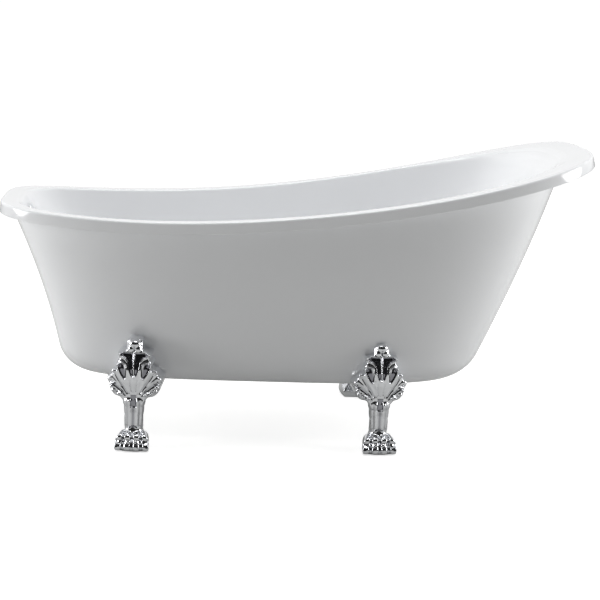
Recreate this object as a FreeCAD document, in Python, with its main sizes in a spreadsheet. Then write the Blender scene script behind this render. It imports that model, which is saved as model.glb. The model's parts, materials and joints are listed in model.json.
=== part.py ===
# Slipper bath on four claw feet, millimetres, +Z up.
# The origin is on the floor, under the middle of the rim. +X runs towards the raised slipper end.
import FreeCAD, Part

import math
import os
import re

import Sketcher
from FreeCAD import Placement, Rotation, Vector

# Driving dimensions: alias, value and what the value is.
SIZES = [
    ("rim_length", 1500, "length of the rim over its top edge"),
    ("rim_width", 690, "width of the rim at mid length"),
    ("rim_taper", 0.16, "growth in width from mid length to the slipper end, as a share"),
    ("rim_low_end", 593, "height of the rim at the low end"),
    ("rim_low_quarter", 577, "height of the rim a quarter of the length in"),
    ("rim_middle", 602, "height of the rim at mid length"),
    ("rim_slipper_quarter", 664, "height of the rim three quarters of the length in"),
    ("rim_slipper_end", 760, "height of the rim at the slipper end"),
    ("rim_band", 30, "depth of the band that hangs from the rim"),
    ("rim_wall", 5, "thickness of the rolled rim"),
    ("rim_edge_round", 7, "rounding of the rim's outer top edge"),
    ("rim_crease_round", 8, "rounding where the rim turns down into the bath"),
    ("low_power", 4.0, "squareness of the plan at the low end"),
    ("slipper_power", 3.3, "squareness of the plan at the slipper end"),
    ("rim_shift", 3, "shift of the rim to the low end, which centres the bath's outline"),
    ("skirt_wall", 4, "thickness of the outer shell"),
    ("skirt_base", 148, "height of the skirt's flat bottom"),
    ("skirt_round", 70, "rounding of the skirt's lower edge"),
    ("skirt_low_reach", 594, "reach of the skirt's bottom towards the low end"),
    ("skirt_slipper_reach", 458, "reach of the skirt's bottom towards the slipper end"),
    ("skirt_half_width", 225, "half width of the skirt at its bottom, before rounding"),
    ("skirt_low_inset", 28, "overhang of the band at the low end"),
    ("skirt_slipper_inset", 78, "overhang of the band at the slipper end"),
    ("skirt_side_inset", 15, "overhang of the band at the tallest part of the sides"),
    ("skirt_side_curve", 1.6, "how fast the skirt's sides fill out with height"),
    ("skirt_low_flare", 14.8, "hollow of the skirt's profile at the low end"),
    ("skirt_slipper_flare", 10.5, "swell of the skirt's profile at the slipper end"),
    ("skirt_flange", 4, "thickness of the skirt's top flange"),
    ("basin_wall", 4, "thickness of the inner shell"),
    ("basin_round", 45, "rounding between bathing floor and walls"),
    ("basin_low_reach", 545, "reach of the bathing floor towards the low end"),
    ("basin_slipper_reach", 395, "reach of the bathing floor towards the slipper end"),
    ("basin_half_width", 190, "half width of the bathing floor, before rounding"),
    ("basin_low_recline", 14.7, "degrees that the low end wall leans back at the floor"),
    ("basin_low_curve", 1250, "radius that bends the low end wall further back"),
    ("basin_slipper_recline", 25.2, "degrees that the slipper end wall leans back"),
    ("basin_side_inset", 27, "width of the rim's top at the tallest part of the sides"),
    ("basin_side_curve", 2.18, "how fast the bathing walls fill out with height"),
    ("slipper_shoulder", 55, "extra reach of the shoulder at the slipper end"),
    ("slipper_shoulder_drop", 70, "height of the shoulder at the slipper end"),
    ("frame_tube", 30, "height of the frame's steel tubes"),
    ("frame_tube_wall", 2.5, "wall of the frame's steel tubes"),
    ("bearer_width", 50, "width of the cross bearers over the feet"),
    ("bearer_length", 230, "length of the cross bearers"),
    ("rail_spacing", 160, "distance between the two frame rails"),
    ("board_thick", 18, "thickness of the board under the bathing floor"),
    ("board_length", 750, "length of the board under the bathing floor"),
    ("board_width", 250, "width of the board under the bathing floor"),
    ("board_gap", 6, "distance from the drain shoe to the board"),
    ("foot_low_place", 404, "distance of the low end feet from mid length"),
    ("foot_slipper_place", 208, "distance of the slipper end feet from mid length"),
    ("foot_low_splay", 6, "degrees that the low end feet turn out"),
    ("foot_slipper_splay", 2, "degrees that the slipper end feet turn in"),
    ("foot_height", 280, "height of a foot to the tip of its finial"),
    ("foot_reach", 90, "distance of the toes outside the skirt's bottom"),
    ("foot_neck", 136, "height of the foot's neck"),
    ("foot_gap", 0.3, "clearance between the leaves of a foot and the skirt"),
    ("foot_lift", 1, "clearance between the paw and the floor"),
    ("tongue_width", 60, "width of the tongue under the bath"),
    ("tongue_thick", 12, "thickness of the tongue under the bath"),
    ("tongue_margin", 34, "length of the tongue past its bolts"),
    ("pad_length", 54, "width of a floor pad"),
    ("pad_width", 40, "depth of a floor pad"),
    ("pad_thick", 3, "thickness of a floor pad"),
    ("pad_setback", 40, "distance from the toes to the middle of a floor pad"),
    ("bolt_size", 8, "diameter of the foot bolts"),
    ("bolt_clearance", 1, "extra diameter of the bolt holes"),
    ("bolt_pitch", 28, "distance between the two bolts of a foot"),
    ("bolt_inset", 125, "distance of the bolts inside the skirt's half width"),
    ("bolt_head", 5.3, "height of the bolt heads"),
    ("bolt_flats", 13, "width across flats of bolt heads and nuts"),
    ("washer_size", 16, "outer diameter of the washers"),
    ("washer_thick", 1.6, "thickness of the washers"),
    ("nut_height", 6.5, "height of the nuts"),
    ("drain_place", 464, "distance of the drain from mid length"),
    ("drain_rim", 70, "diameter of the drain's top flange"),
    ("drain_rim_thick", 3, "thickness of the drain's top flange"),
    ("drain_bore", 38, "bore of the drain"),
    ("drain_tail", 44, "outer diameter of the drain's threaded tail"),
    ("drain_tail_length", 18, "length of the threaded tail under the flange"),
    ("drain_hole_gap", 0.5, "clearance round the tail in the bathing floor"),
    ("gasket_thick", 1.5, "thickness of the gaskets"),
    ("shoe_size", 52, "outer diameter of the drain shoe"),
    ("shoe_collar", 62, "diameter of the shoe's sealing collar"),
    ("shoe_collar_thick", 6, "thickness of the shoe's sealing collar"),
    ("shoe_base", 154, "height of the shoe's lower end"),
    ("branch_height", 175, "height of the shoe's overflow branch"),
    ("branch_length", 14, "length of the shoe's overflow branch"),
    ("hub_size", 20, "outer diameter of the drain's hub"),
    ("arm_width", 4, "width of the three arms that hold the hub"),
    ("hub_height", 7, "height of the drain's hub"),
    ("barrel_size", 14, "outer diameter of the latch barrel"),
    ("barrel_rise", 6, "height of the latch barrel above the hub"),
    ("barrel_drop", 7, "depth of the latch barrel below the hub"),
    ("stem_size", 8, "diameter of the plug's stem"),
    ("stem_fit", 0.05, "clearance all round between stem and barrel"),
    ("plug_size", 60, "diameter of the plug's cap"),
    ("plug_thick", 3, "thickness of the plug's cap at its edge"),
    ("plug_dome", 2.5, "rise of the cap's middle over its edge"),
    ("seal_outer", 52, "outer diameter of the plug's seal"),
    ("seal_inner", 41, "inner diameter of the plug's seal"),
    ("seal_thick", 2, "thickness of the plug's seal"),
    ("seal_gap", 0.3, "clearance under the closed plug's seal"),
    ("tail_pipe", 38.1, "outer diameter of the tailpiece"),
    ("tail_pipe_wall", 1.5, "wall of the tailpiece"),
    ("tail_pipe_end", 114, "height of the tailpiece's lower end"),
    ("tail_pipe_neck", 37.6, "outer diameter of the tailpiece inside its nut and socket"),
    ("tail_pipe_bare", 1, "drop of the tailpiece's shoulder below the slip nut"),
    ("tail_pipe_socket", 9, "depth of the tailpiece's socket in the shoe"),
    ("slip_nut_flats", 52, "width across flats of the slip nut"),
    ("slip_nut_height", 18, "height of the slip nut"),
    ("waste_hole", 76, "diameter of the hole in the skirt for the waste"),
    ("overflow_height", 545, "height of the overflow on the low end wall"),
    ("overflow_plate", 56, "diameter of the overflow plate"),
    ("overflow_depth", 10, "depth of the overflow plate"),
    ("overflow_hole", 36, "diameter of the hole in the wall for the overflow"),
    ("elbow_size", 46, "outer diameter of the overflow elbow"),
    ("elbow_depth", 18, "depth of the overflow elbow"),
    ("elbow_wall", 3, "wall of the overflow elbow"),
    ("pipe_size", 16, "outer diameter of the overflow pipe"),
    ("pipe_wall", 1.5, "wall of the overflow pipe"),
    ("pipe_bend", 45, "radius of the overflow pipe's bend"),
    ("pipe_corner", 13, "distance of the pipe's bend outside the bathing floor"),
    ("pipe_socket", 8, "depth of the overflow pipe's socket in the shoe"),
    ("pipe_fit", 0.05, "clearance all round the overflow pipe in its sockets"),
    ("screw_size", 5, "diameter of the overflow screw"),
    ("screw_head", 10, "diameter of the overflow screw's head"),
]

document = FreeCAD.newDocument("slipper_bath")
sheet = document.addObject("Spreadsheet::Sheet", "Sizes")
for row, (alias, value, note) in enumerate(SIZES, start=1):
    sheet.set(f"A{row}", alias)
    sheet.set(f"B{row}", str(value))
    sheet.setAlias(f"B{row}", alias)
    sheet.set(f"C{row}", note)
document.recompute()

# Places worked out from the driving dimensions, written as expressions over the sheet.
FRAME_BASE = "(skirt_base + skirt_wall)"
BOARD_BASE = f"({FRAME_BASE} + frame_tube)"
BASIN_UNDERSIDE = f"({BOARD_BASE} + board_thick)"
BASIN_FLOOR = f"({BASIN_UNDERSIDE} + basin_wall)"
FOOT_FRONT = "(skirt_half_width + foot_reach)"
BOLT_PLACE = "(skirt_half_width - bolt_inset)"
DRAIN_SEAT = f"({BASIN_FLOOR} + gasket_thick)"
DRAIN_TAIL_END = f"({DRAIN_SEAT} - drain_tail_length)"
SHOE_TOP = f"({BASIN_UNDERSIDE} - gasket_thick)"
PLUG_SEAT = f"({DRAIN_SEAT} + drain_rim_thick + seal_gap)"


def tied(expression):
    """Return an expression with each alias written as a cell of the sheet."""
    return re.sub(r"[a-z]\w*", lambda match: f"Sizes.{match.group(0)}", expression)


def solve(expression):
    """Return the number that an expression over the aliases stands for."""
    result = sheet.evalExpression(tied(expression))
    return float(getattr(result, "Value", result))


def bind(target, **links):
    """Tie properties of an object to expressions over the aliases."""
    for name, expression in links.items():
        target.setExpression(name, tied(expression))
    return target


def stand(target, x="0", y="0", z="0"):
    """Tie the position of an object to three expressions."""
    for axis, expression in (("x", x), ("y", y), ("z", z)):
        target.setExpression(f"Placement.Base.{axis}", tied(expression))
    return target


nodes = []


def keep(piece, label):
    """Name a finished piece, which makes it a node of the model."""
    piece.Label = label
    nodes.append(piece)
    return piece


def formed(label, shape):
    """Make a node from a shape that is neither a sketched nor a primitive form."""
    piece = document.addObject("Part::Feature", f"{label}_form")
    piece.Shape = shape
    return keep(piece, label)


# ---------------------------------------------------------------- sketched pieces


def sketch_on(body, name, plane):
    """Attach an empty sketch to one of the body's own origin planes."""
    sketch = body.newObject("Sketcher::SketchObject", name)
    support = next(item for item in body.Origin.OriginFeatures if item.Role == plane)
    sketch.AttachmentSupport = [(support, "")]
    sketch.MapMode = "FlatFace"
    return sketch


def pin(sketch, edge, end, x, y):
    """Fix one point of an edge at two expressions."""
    for kind, expression, axis in (("DistanceX", x, -2), ("DistanceY", y, -1)):
        if expression == "0":
            sketch.addConstraint(Sketcher.Constraint("PointOnObject", edge, end, axis))
        else:
            constraint = Sketcher.Constraint(kind, -1, 1, edge, end, solve(expression))
            index = sketch.addConstraint(constraint)
            sketch.setExpression(f"Constraints[{index}]", tied(expression))


def draw_outline(sketch, corners):
    """Draw a closed outline of straight lines whose corners are pairs of expressions."""
    points = [Vector(solve(x), solve(y), 0) for x, y in corners]
    count = len(corners)
    first = sketch.GeometryCount
    for index in range(count):
        sketch.addGeometry(Part.LineSegment(points[index], points[(index + 1) % count]), False)
    for index in range(count):
        following = first + (index + 1) % count
        sketch.addConstraint(Sketcher.Constraint("Coincident", first + index, 2, following, 1))
    for index, (x, y) in enumerate(corners):
        pin(sketch, first + index, 1, x, y)


def turned(name, corners):
    """Make a body by turning an outline of radius and height round the Z axis."""
    body = document.addObject("PartDesign::Body", name)
    sketch = sketch_on(body, f"{name}_profile", "XZ_Plane")
    draw_outline(sketch, corners)
    turn = body.newObject("PartDesign::Revolution", f"{name}_turn")
    turn.Profile = sketch
    turn.ReferenceAxis = (sketch, ["V_Axis"])
    turn.Angle = 360
    return body


def ring(name, inner, outer, low, high):
    """Make a plain ring from two radii and two heights."""
    return turned(name, [(inner, low), (outer, low), (outer, high), (inner, high)])


# ---------------------------------------------------------------- primitive pieces


def box(name, length, width, height):
    """Make a box from three expressions."""
    solid = document.addObject("Part::Box", name)
    return bind(solid, Length=length, Width=width, Height=height)


def rod(name, radius, height):
    """Make a cylinder from two expressions."""
    solid = document.addObject("Part::Cylinder", name)
    return bind(solid, Radius=radius, Height=height)


def hexagon(name, flats, height):
    """Make a hexagonal prism from its width across flats and its height."""
    solid = document.addObject("Part::Prism", name)
    solid.Polygon = 6
    return bind(solid, Circumradius=f"({flats}) / 1.7320508", Height=height)


def joined(name, solids):
    """Fuse several objects into one."""
    union = document.addObject("Part::MultiFuse", name)
    union.Shapes = solids
    return union


def cut(name, base, tools):
    """Cut one or more tools from a base."""
    result = document.addObject("Part::Cut", name)
    result.Base = base
    result.Tool = tools[0] if len(tools) == 1 else joined(f"{name}_tools", tools)
    return result


def group(name, solids):
    """Gather like solids that share one node."""
    compound = document.addObject("Part::Compound", name)
    compound.Links = solids
    return compound


# ---------------------------------------------------------------- the two shells

ANGLES = [math.pi * step / 20 for step in range(21)]
ROUND_ANGLES = (0, 18, 36, 54, 72, 90)


def make_rim_line():
    """Return the side view of the rim's top edge, carried on past both ends."""
    quarter = solve("rim_length / 4")
    heights = ("rim_low_end", "rim_low_quarter", "rim_middle", "rim_slipper_quarter", "rim_slipper_end")
    points = [Vector((step - 2) * quarter, 0, solve(height)) for step, height in enumerate(heights)]
    line = Part.BSplineCurve()
    line.interpolate(points)
    ends = (line.tangent(line.FirstParameter)[0], line.tangent(line.LastParameter)[0])
    longer = Part.BSplineCurve()
    longer.interpolate([points[0] - ends[0] * quarter / 2] + points + [points[-1] + ends[1] * quarter / 2])
    return longer


RIM_LINE = make_rim_line()


def rim_at(x):
    """Return the height of the rim line at a distance from mid length, and its direction."""
    low = RIM_LINE.FirstParameter
    high = RIM_LINE.LastParameter
    for _ in range(24):
        middle = (low + high) / 2
        if RIM_LINE.value(middle).x < x:
            low = middle
        else:
            high = middle
    return RIM_LINE.value(middle).z, RIM_LINE.tangent(middle)[0]


def lowered(point, drop):
    """Return a point of the rim's surface moved down square to that surface."""
    direction = rim_at(point.x)[1]
    return point + Vector(direction.z, 0, -direction.x) * drop


def plan_point(angle, low, slipper, half, centre, powers):
    """Return one point of a superellipse whose two ends differ, as x and y."""
    cosine = math.cos(angle)
    reach, power = (slipper - centre, powers[1]) if cosine > 0 else (centre + low, powers[0])
    x = centre + math.copysign(reach * abs(cosine) ** (2 / power), cosine)
    sine = math.sin(angle) if 0 < angle < math.pi - 0.001 else 0
    y = half * sine ** (2 / power) * (1 + solve("rim_taper") * x / solve("rim_length / 2"))
    return x, y


def filled(height):
    """Return how far up the walls a height lies, from 0 at the skirt's base to 1 at mid rim."""
    base = solve("skirt_base")
    return min(1.0, max(0.0, (height - base) / (solve("rim_middle - rim_band") - base)))


def plan_powers(height):
    """Return the squareness of the two ends, which softens towards the bottom."""
    softening = 0.12 * (1 - filled(height))
    return solve("low_power") * (1 - softening), solve("slipper_power") * (1 - softening / 3)


def rounded(height, base, radius):
    """Return how far a wall is drawn in at a height by the rounding at its foot."""
    above = height - base
    if above >= radius:
        return 0.0
    return radius - math.sqrt(max(0.0, radius ** 2 - (radius - above) ** 2))


def eased(height, start, span):
    """Return a value that grows from 0 at start to 1 at the end of span, gently at first."""
    return min(1.0, max(0.0, (height - start) / span)) ** 2


def side_width(height, fullest, narrowest, floor, curve):
    """Return the half width of a side wall that fills out quickly and then rises steeply."""
    left = max(0.0, (solve("rim_slipper_end") - height) / (solve("rim_slipper_end") - floor))
    return fullest - (fullest - narrowest) * left ** curve


def skirt_plan(height, skin):
    """Return the skirt's plan at a height, drawn in by skin."""
    base = solve("skirt_base")
    low_share = (height - base) / (solve("rim_low_end - rim_band") - base)
    slipper_share = (height - base) / (solve("rim_slipper_end - rim_band") - base)
    low_bottom = solve("skirt_low_reach")
    low = low_bottom + (solve("rim_length / 2 - skirt_low_inset") - low_bottom) * low_share
    low -= 4 * solve("skirt_low_flare") * low_share * (1 - low_share)
    slipper_bottom = solve("skirt_slipper_reach")
    slipper = slipper_bottom
    slipper += (solve("rim_length / 2 - skirt_slipper_inset") - slipper_bottom) * slipper_share
    slipper += 4 * solve("skirt_slipper_flare") * slipper_share * (1 - slipper_share)
    half = side_width(height, solve("rim_width / 2 - skirt_side_inset"), solve("skirt_half_width"),
                      base, solve("skirt_side_curve"))
    inward = skin + rounded(height, base + skin, solve("skirt_round") - skin)
    centre = (slipper_bottom - low_bottom) / 2 * (1 - filled(height))
    return low - inward, slipper - inward, half - inward, centre, plan_powers(height)


def basin_low(height):
    """Return how far the bathing space reaches towards the low end at a height."""
    rise = height - solve(BASIN_FLOOR)
    lean = math.tan(math.radians(solve("basin_low_recline")))
    return solve("basin_low_reach") + rise * lean + rise ** 2 / (2 * solve("basin_low_curve"))


def basin_plan(height, skin):
    """Return the bathing space's plan at a height, drawn in by skin."""
    floor = solve(BASIN_FLOOR)
    rise = height - floor
    slipper = solve("basin_slipper_reach") + rise * math.tan(math.radians(solve("basin_slipper_recline")))
    drop = solve("slipper_shoulder_drop")
    slipper += solve("slipper_shoulder") * eased(height, solve("rim_slipper_end") - drop, drop)
    half = side_width(height, solve("rim_width / 2 - basin_side_inset"), solve("basin_half_width"),
                      floor, solve("basin_side_curve"))
    inward = skin + rounded(height, floor + skin, solve("basin_round") - skin)
    centre = solve("(basin_slipper_reach - basin_low_reach) / 2") * (1 - filled(height))
    return basin_low(height) - inward, slipper - inward, half - inward, centre, plan_powers(height)


def level_rail(plan, height, skin):
    """Return the points of a plan at one height."""
    return [Vector(*plan_point(angle, *plan(height, skin)), height) for angle in ANGLES]


def round_rails(plan, floor, radius, skin):
    """Return the rails that draw the rounding at the foot of a wall."""
    levels = [floor + radius * (1 - math.cos(math.radians(angle))) for angle in ROUND_ANGLES]
    return [level_rail(plan, level, skin) for level in levels]


def rising_rail(plan, start, share, drop, skin):
    """Return points part of the way up a wall that ends a drop below the rim's surface."""
    rail = []
    for angle in ANGLES:
        height = solve("rim_middle")
        for _ in range(5):
            x, y = plan_point(angle, *plan(height, skin))
            top, direction = rim_at(x)
            height = start + (top - drop / direction.x - start) * share
        rail.append(Vector(x, y, height))
    return rail


def rim_rail(inset, drop):
    """Return points of the rim, in from its outline and down square to its surface."""
    powers = (solve("low_power"), solve("slipper_power"))
    reach = solve("rim_length / 2") - inset
    shift = solve("rim_shift")
    rail = []
    for angle in ANGLES:
        x, y = plan_point(angle, reach + shift, reach - shift, solve("rim_width / 2") - inset, 0, powers)
        rail.append(lowered(Vector(x, y, rim_at(x)[0]), drop))
    return rail


def blend_rails(start, corner, end):
    """Return three rails that round a corner between two rails."""
    rails = []
    for share in (0.25, 0.5, 0.75):
        weights = ((1 - share) ** 2, 2 * share * (1 - share), share ** 2)
        rails.append([first * weights[0] + middle * weights[1] + last * weights[2]
                      for first, middle, last in zip(start, corner, end)])
    return rails


def rail_edges(rail):
    """Return the far and the near half of a closed rail."""
    edges = []
    for side in (1, -1):
        curve = Part.BSplineCurve()
        points = [Vector(point.x, side * point.y, point.z) for point in rail]
        curve.interpolate(Points=points, Scale=False,
                          InitialTangent=Vector(0, side, 0), FinalTangent=Vector(0, -side, 0))
        edges.append(curve.toShape())
    return edges


def shell_of(rails):
    """Return the solid whose skin runs from the first flat rail over all others to the last."""
    halves = [rail_edges(rail) for rail in rails]
    faces = [Part.Face(Part.Wire(halves[index])) for index in (0, -1)]
    for lower, upper in zip(halves, halves[1:]):
        faces += [Part.makeRuledSurface(lower[side], upper[side]) for side in (0, 1)]
    shell = Part.makeShell(faces)
    shell.sewShape()
    solid = Part.makeSolid(shell)
    if solid.Volume < 0:
        solid.reverse()
    return solid


WALL_SHARES = (0.17, 0.34, 0.5, 0.66, 0.8, 0.91)


def make_basin():
    """Return the inner shell: bathing space, rolled rim and the band's upright lip."""
    floor = solve(BASIN_FLOOR)
    wall = solve("basin_wall")
    radius = solve("basin_round")
    rolled = solve("rim_wall")
    lip = solve("rim_band - skirt_flange")
    edge = solve("rim_edge_round")
    crease = solve("rim_crease_round")
    opening = rising_rail(basin_plan, floor + radius, 1, 0, 0)
    outline = rim_rail(0, 0)
    rails = round_rails(basin_plan, floor, radius, 0)
    rails += [rising_rail(basin_plan, floor + radius, share, crease, 0) for share in WALL_SHARES + (1,)]
    shelf = [inner + (outer - inner).normalize() * crease for inner, outer in zip(opening, outline)]
    rails += blend_rails(rails[-1], opening, shelf) + [shelf, rim_rail(edge, 0)]
    rails += blend_rails(rails[-1], outline, rim_rail(0, edge)) + [rim_rail(0, edge)]
    rails += [rim_rail(0, lip), rim_rail(rolled, lip), rim_rail(rolled, rolled)]
    outer_start = floor + radius
    rails += [rising_rail(basin_plan, outer_start, share, rolled, -wall) for share in (1,) + WALL_SHARES[::-1]]
    rails += round_rails(basin_plan, floor - wall, radius + wall, -wall)[::-1]
    shell = shell_of(rails)
    drain = Part.makeCylinder(solve("drain_tail / 2 + drain_hole_gap"), 60,
                              Vector(-solve("drain_place"), 0, floor - 30))
    port = Part.makeCylinder(solve("overflow_hole / 2"), 40, Vector(0, 0, -20))
    port.Placement = overflow_placement()
    return shell.cut([drain, port])


def make_skirt():
    """Return the outer shell: walls, closed bottom and the flange that carries the lip."""
    base = solve("skirt_base")
    wall = solve("skirt_wall")
    radius = solve("skirt_round")
    band = solve("rim_band")
    seat = solve("rim_band - skirt_flange")
    start = base + radius
    rails = round_rails(skirt_plan, base, radius, 0)
    rails += [rising_rail(skirt_plan, start, share, band, 0) for share in WALL_SHARES + (1,)]
    rails += [rim_rail(0, band), rim_rail(0, seat), rim_rail(solve("rim_wall"), seat)]
    rails += [rising_rail(skirt_plan, start, share, seat, wall) for share in (1,) + WALL_SHARES[::-1]]
    rails += round_rails(skirt_plan, base + wall, radius - wall, wall)[::-1]
    shell = shell_of(rails)
    tools = [Part.makeCylinder(solve("waste_hole / 2"), 40, Vector(-solve("drain_place"), 0, base - 10))]
    for x, y in bolt_places():
        hole = solve("(bolt_size + bolt_clearance) / 2")
        tools.append(Part.makeCylinder(hole, 40, Vector(solve(x), solve(y), base - 10)))
    return shell.cut(tools)


def skirt_block(skin):
    """Return the lower part of the skirt as a full block, to fit the feet against."""
    radius = solve("skirt_round") - skin
    foot = solve("skirt_base") + skin
    rails = round_rails(skirt_plan, foot, radius, skin)
    rails += [level_rail(skirt_plan, foot + radius + rise, skin) for rise in (40, 80, 120)]
    return shell_of(rails)


def overflow_placement():
    """Return where the overflow sits: on the low end wall, facing into the bath."""
    height = solve("overflow_height")
    recline = math.degrees(math.atan(basin_low(height + 0.5) - basin_low(height - 0.5)))
    return Placement(Vector(-basin_low(height), 0, height), Rotation(Vector(0, 1, 0), 90 - recline))


def bolt_places():
    """Return the places of the foot bolts as pairs of expressions."""
    places = []
    for foot in ("-foot_low_place", "foot_slipper_place"):
        for side in ("-", ""):
            for end in ("-", "+"):
                places.append((f"{foot} {end} bolt_pitch / 2", f"{side}{BOLT_PLACE}"))
    return places


# ---------------------------------------------------------------- claw feet

# Sections of the leg from the floor up: height, setback of the front from the toes,
# half width, roundness of the front as a share of the half width, and depth.
LEG_SECTIONS = [
    (0.0, 8, 39, 0.30, 66),
    (9.0, 6, 41, 0.30, 70),
    (28.0, 14, 38, 0.40, 60),
    (44.0, 27, 27, 0.70, 44),
    (58.0, 28, 24, 0.80, 40),
    (90.0, 28, 23, 0.80, 39),
    (118.0, 29, 25, 0.80, 42),
    (142.0, 31, 33, 0.60, 46),
]

# Side view of the leaves: height and setback of the foremost carving from the toes.
LEAF_FRONT = [(128.0, 33), (150.0, 27), (175.0, 23), (205.0, 23), (240.0, 31), (290.0, 50)]
LEAF_CURVE_RADIUS = 95
LEAF_HALF_WIDTH = 78

# Half outline of the leaves in the front view: start, then arcs as a point on the way and an end.
LEAF_START = (30, 134)
LEAF_ARCS = [
    ((50, 135), (60, 146)),
    ((63, 153), (57, 160)),
    ((69, 170), (61, 186)),
    ((52, 197), (37, 204)),
    ((45, 215), (34, 230)),
    ((42, 243), (29, 255)),
    ((24, 255), (20, 259)),
    ((18, 276), (0, 280)),
]

# Carvings that stand out from the leaves: set back from the foremost surface, then the outline.
CENTRE_LEAF = (0.0, (0, 130), [((13, 160), (9, 205)), ((5, 225), (0, 240))])
CROWN_LEAF = (3.0, (0, 205), [((9, 222), (13, 236)), ((26, 236), (38, 243)), ((41, 250), (31, 254)),
                              ((14, 248), (0, 262))])
DOME = (2.0, (0, 256), [((12, 252), (17, 260)), ((15, 274), (0, 277))])
UPPER_LEAF = (4.0, (14, 166), [((34, 184), (43, 217)), ((38, 224), (33, 216)), ((26, 196), (13, 186)),
                               ((12, 176), (14, 166))])
WIDE_LEAF = (4.0, (17, 140), [((46, 148), (66, 173)), ((62, 184), (55, 180)), ((40, 166), (16, 158)),
                              ((15, 149), (17, 140))])
LOWER_LEAF = (5.0, (20, 134), [((46, 136), (60, 149)), ((58, 157), (50, 154)), ((38, 146), (21, 142)),
                               ((20, 138), (20, 134))])

# Side view of a toe: setback from the toes and height, as a start and arcs.
TOE_START = (52, 38)
TOE_ARCS = [((38, 49), (20, 45)), ((8, 41), (9, 29)), ((8, 26), (5, 24)), ((-2, 14), (4, 3))]
TOE_WIDTH = 16.5
TOE_PITCH = 19.5
TOE_TURN = 4.5


def arcs(start, steps, place):
    """Return edges through a start and arcs; place turns a pair of sizes into a point."""
    edges = []
    point = place(start)
    for way, end in steps:
        edges.append(Part.Arc(point, place(way), place(end)).toShape())
        point = place(end)
    return edges


def fan_height(height):
    """Return a height of the drawn leaves, fitted between the foot's neck and its tip."""
    neck = solve("foot_neck")
    return neck + (height - 136) * (solve("foot_height") - neck) / (280 - 136)


def front_point(mirror):
    """Return a function that places a front view point on the plane through the bath's middle."""
    return lambda pair: Vector(mirror * pair[0], 0, fan_height(pair[1]))


def front_prism(start, steps, symmetric):
    """Return prisms that run outwards from front view outlines, a left and a right half."""
    reach = Vector(0, -solve(FOOT_FRONT) - 20, 0)
    solids = []
    for mirror in (1, -1):
        edges = arcs(start, steps, front_point(mirror))
        if symmetric:
            first = edges[0].Vertexes[0].Point
            foot = Vector(0, 0, first.z)
            if first.distanceToPoint(foot) > 0.01:
                edges.append(Part.makeLine(foot, first))
            edges.append(Part.makeLine(front_point(mirror)(steps[-1][1]), foot))
        solids.append(Part.Face(Part.Wire(Part.__sortEdges__(edges))).extrude(reach))
    return solids[0].fuse(solids[1]) if symmetric else Part.makeCompound(solids)


def leaf_stock(depth):
    """Return the solid behind the leaves' curved front, set back by depth."""
    front = solve(FOOT_FRONT)
    half = LEAF_HALF_WIDTH
    sag = LEAF_CURVE_RADIUS - math.sqrt(LEAF_CURVE_RADIUS ** 2 - half ** 2)
    back = solve("skirt_round - skirt_half_width")
    wires = []
    for height, setback in LEAF_FRONT:
        level = fan_height(height)
        y = -(front - setback - depth)
        left = Vector(-half, y + sag, level)
        right = Vector(half, y + sag, level)
        curve = Part.Arc(left, Vector(0, y, level), right).toShape()
        corners = [right, Vector(half, back, level), Vector(-half, back, level), left]
        wires.append(Part.Wire([curve] + Part.makePolygon(corners).Edges))
    return Part.makeLoft(wires, True, False)


def leg_solid():
    """Return the leg: paw, ankle, shaft and neck."""
    front = solve(FOOT_FRONT)
    scale = solve("foot_neck") / 136
    wires = []
    for height, setback, half, roundness, depth in LEG_SECTIONS:
        level = height * scale
        y = -(front - setback)
        sag = half * roundness
        left = Vector(-half, y + sag, level)
        right = Vector(half, y + sag, level)
        back_left = Vector(-half * 0.8, y + depth, level)
        back_right = Vector(half * 0.8, y + depth, level)
        curve = Part.Arc(left, Vector(0, y, level), right).toShape()
        wires.append(Part.Wire([curve] + Part.makePolygon([right, back_right, back_left, left]).Edges))
    return Part.makeLoft(wires, True, False)


def toes():
    """Return the four toes, each with two knuckles."""
    front = solve(FOOT_FRONT)
    solids = []
    for index in (-1.5, -0.5, 0.5, 1.5):
        edges = arcs(TOE_START, TOE_ARCS, lambda pair: Vector(0, -(front - pair[0]), pair[1]))
        first = edges[0].Vertexes[0].Point
        last = edges[-1].Vertexes[-1].Point
        corner = Vector(0, first.y, last.z)
        edges += Part.makePolygon([last, corner, first]).Edges
        toe = Part.Face(Part.Wire(Part.__sortEdges__(edges))).extrude(Vector(TOE_WIDTH, 0, 0))
        toe.translate(Vector(-TOE_WIDTH / 2, 0, 0))
        toe.translate(Vector(index * TOE_PITCH, abs(index) * 1.2, 0))
        toe.rotate(Vector(index * TOE_PITCH, -front + 52, 0), Vector(0, 0, 1), index * TOE_TURN)
        solids.append(toe)
    return solids


def flutes():
    """Return the grooves of the shaft: a panel under the neck, the middle flute and two beside it."""
    front = solve(FOOT_FRONT)
    scale = solve("foot_neck") / 136
    tools = []
    for x, radius, low, high, depth in ((0, 6.5, 54, 112, 28), (-14, 4.5, 58, 122, 33), (14, 4.5, 58, 122, 33)):
        groove = Part.makeCylinder(radius, (high - low) * scale, Vector(x, -(front - depth) - 2.5, low * scale))
        tools.append(groove)
    panel = Part.makeBox(14, 8, 18 * scale, Vector(-7, -(front - 26), 112 * scale))
    return tools + [panel]


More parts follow.
